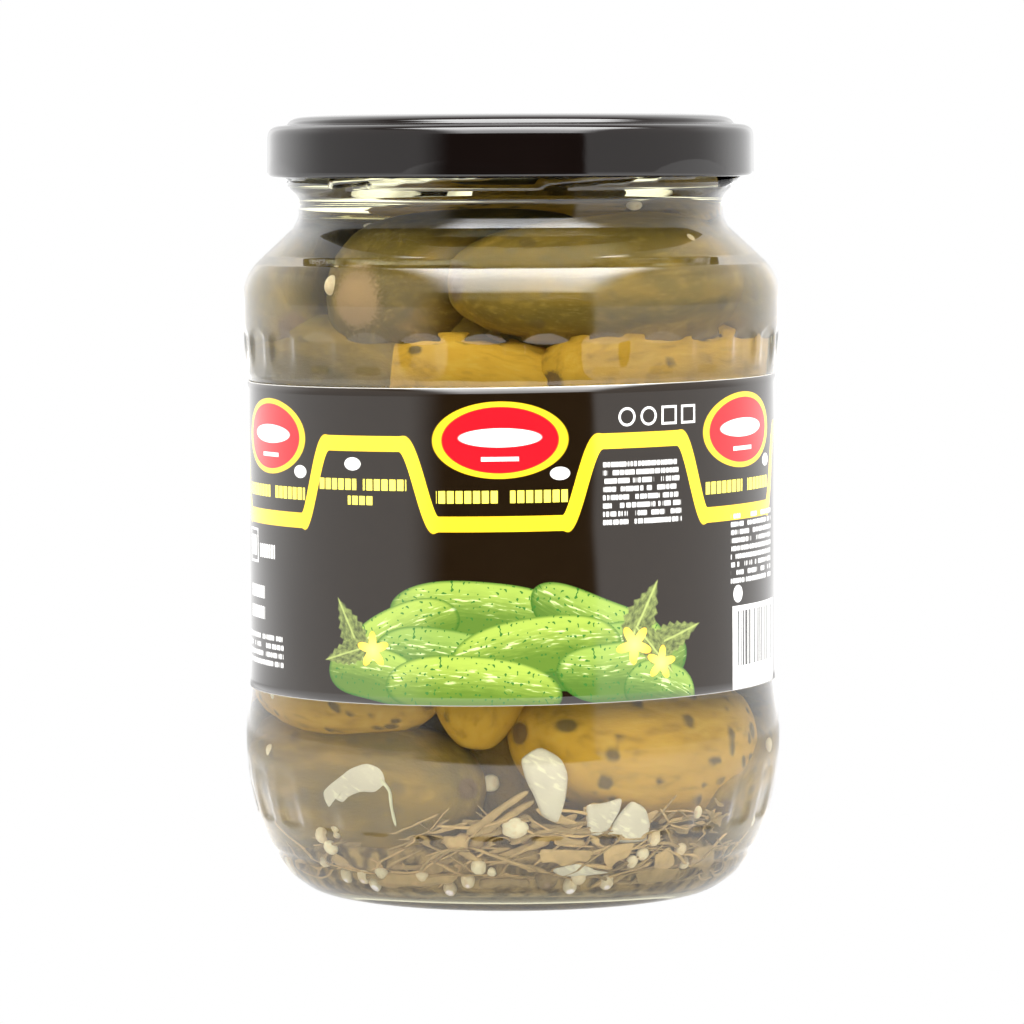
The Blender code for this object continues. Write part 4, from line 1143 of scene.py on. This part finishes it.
def make_camera():
    """Camera of the photograph: a long lens a little above the lid, looking slightly down."""
    data = bpy.data.cameras.new("camera")
    data.sensor_width = 36.0
    data.lens = CAMERA_LENS
    data.clip_start = 0.01
    camera = bpy.data.objects.new("camera", data)
    pitch = Matrix.Rotation(math.radians(90 - CAMERA_DOWN), 4, "X")
    roll = Matrix.Rotation(math.radians(CAMERA_ROLL), 4, "Z")
    camera.matrix_world = Matrix.Translation(CAMERA_PLACE) @ pitch @ roll
    bpy.context.scene.collection.objects.link(camera)
    bpy.context.scene.camera = camera


def camera_gap(paint, azimuth):
    """1 in the front of the tent, which is open for the camera."""
    return paint.rising(azimuth, -46, -27) * paint.rising(azimuth, 37, 33)


def behind_jar(paint, azimuth):
    """1 behind the jar, 0 beside it and in front."""
    return paint.rising(abs(azimuth), 95, 130)


def make_world():
    """A white light tent: bright sides, a gap for the camera, and a strong soft box above the gap."""
    world = bpy.data.worlds.new("light_tent")
    bpy.context.scene.world = world
    paint = Paint(world)
    x, y, z = paint.parts(paint.node("TexCoord", out="Generated"))
    azimuth = paint.degrees("ARCTAN2", x, y * -1)
    height = paint.degrees("ARCSINE", z)
    sideways = paint.degrees("ARCSINE", x)
    over = paint.degrees("ARCTAN2", z, y * -1)
    gap = camera_gap(paint, azimuth) * paint.rising(height, 24, 20)
    behind = behind_jar(paint, azimuth) * paint.rising(abs(azimuth), 176, 160)
    behind = behind * paint.rising(height, 40, 25)
    tent = paint.rising(height, 62, 42) * 0.93 + 0.07
    tent = tent * (gap * -0.985 + 1) * (behind * 0.75 + 1)
    box = paint.rising(over, 34, 76) * (BOX_TOP - BOX_FOOT) + BOX_FOOT
    box = box * paint.rising(over, 21, 29) * paint.rising(over, 108, 98)
    box = box * paint.rising(abs(sideways - 4), 36, 21)
    lit = paint.light("Background", tent + box)
    paint.node("OutputWorld", None, {"Surface": lit}, ())


def make_floor():
    """A lit white sheet under the jar that ends a little way in front of it, towards the camera. Its glow
    is dimmed round the jar's foot in a painted contact shadow.
    """
    corners = [(-6, -6, 0), (6, -6, 0), (6, 6, 0), (-6, 6, 0)]
    mesh = bpy.data.meshes.new("floor")
    mesh.from_pydata(corners, [], [(0, 1, 2, 3)])
    floor = bpy.data.objects.new("floor", mesh)
    bpy.context.scene.collection.objects.link(floor)
    paint = material("white_sheet")
    x, y, _ = paint.parts(paint.place())
    azimuth = paint.degrees("ARCTAN2", x, y * -1)
    reach = paint.length(x, y)
    near_glow = paint.rising(y, 0.30, -0.15) * (NEAR_FRONT - NEAR_BACK) + NEAR_BACK
    far_glow = behind_jar(paint, azimuth) * (FAR_BACK - FAR_SIDE) + FAR_SIDE
    glow = (near_glow - far_glow) * paint.rising(reach, 0.45, 0.20) + far_glow
    bounced = paint.math("MINIMUM", paint.node("LightPath", out="Diffuse Depth"), 1.0)
    cut_off = camera_gap(paint, azimuth) * paint.rising(y, -0.22, -0.26) * (1 - bounced)
    # Painted contact shadow: the glow that rays other than the camera's see falls to about a third near the
    # jar's foot
    contact = paint.rising(reach, 0.028, 0.062) * 0.65 + 0.35
    lit = paint.light("Emission", glow * (cut_off * -0.98 + 1) * contact)
    paint.node("OutputMaterial", None, {"Surface": lit}, ())
    mesh.materials.append(paint.owner)


def heap_tree(*pieces):
    """A search tree of the faces of several pieces, in millimetres."""
    corners, faces = [], []
    for piece in pieces:
        start = len(corners)
        faces += [tuple(i + start for i in face.vertices) for face in piece.data.polygons]
        corners += [vertex.co / MM for vertex in piece.data.vertices]
    return BVHTree.FromPolygons(corners, faces)


def main():
    make_camera()
    make_world()
    make_floor()
    bpy.context.scene.view_settings.view_transform = "Standard"
    make_glass()
    make_brine()
    make_lid()
    make_label()
    make_seeds(heap_tree(make_gherkins(), make_core()))
    make_garlic()
    make_herbs()


main()
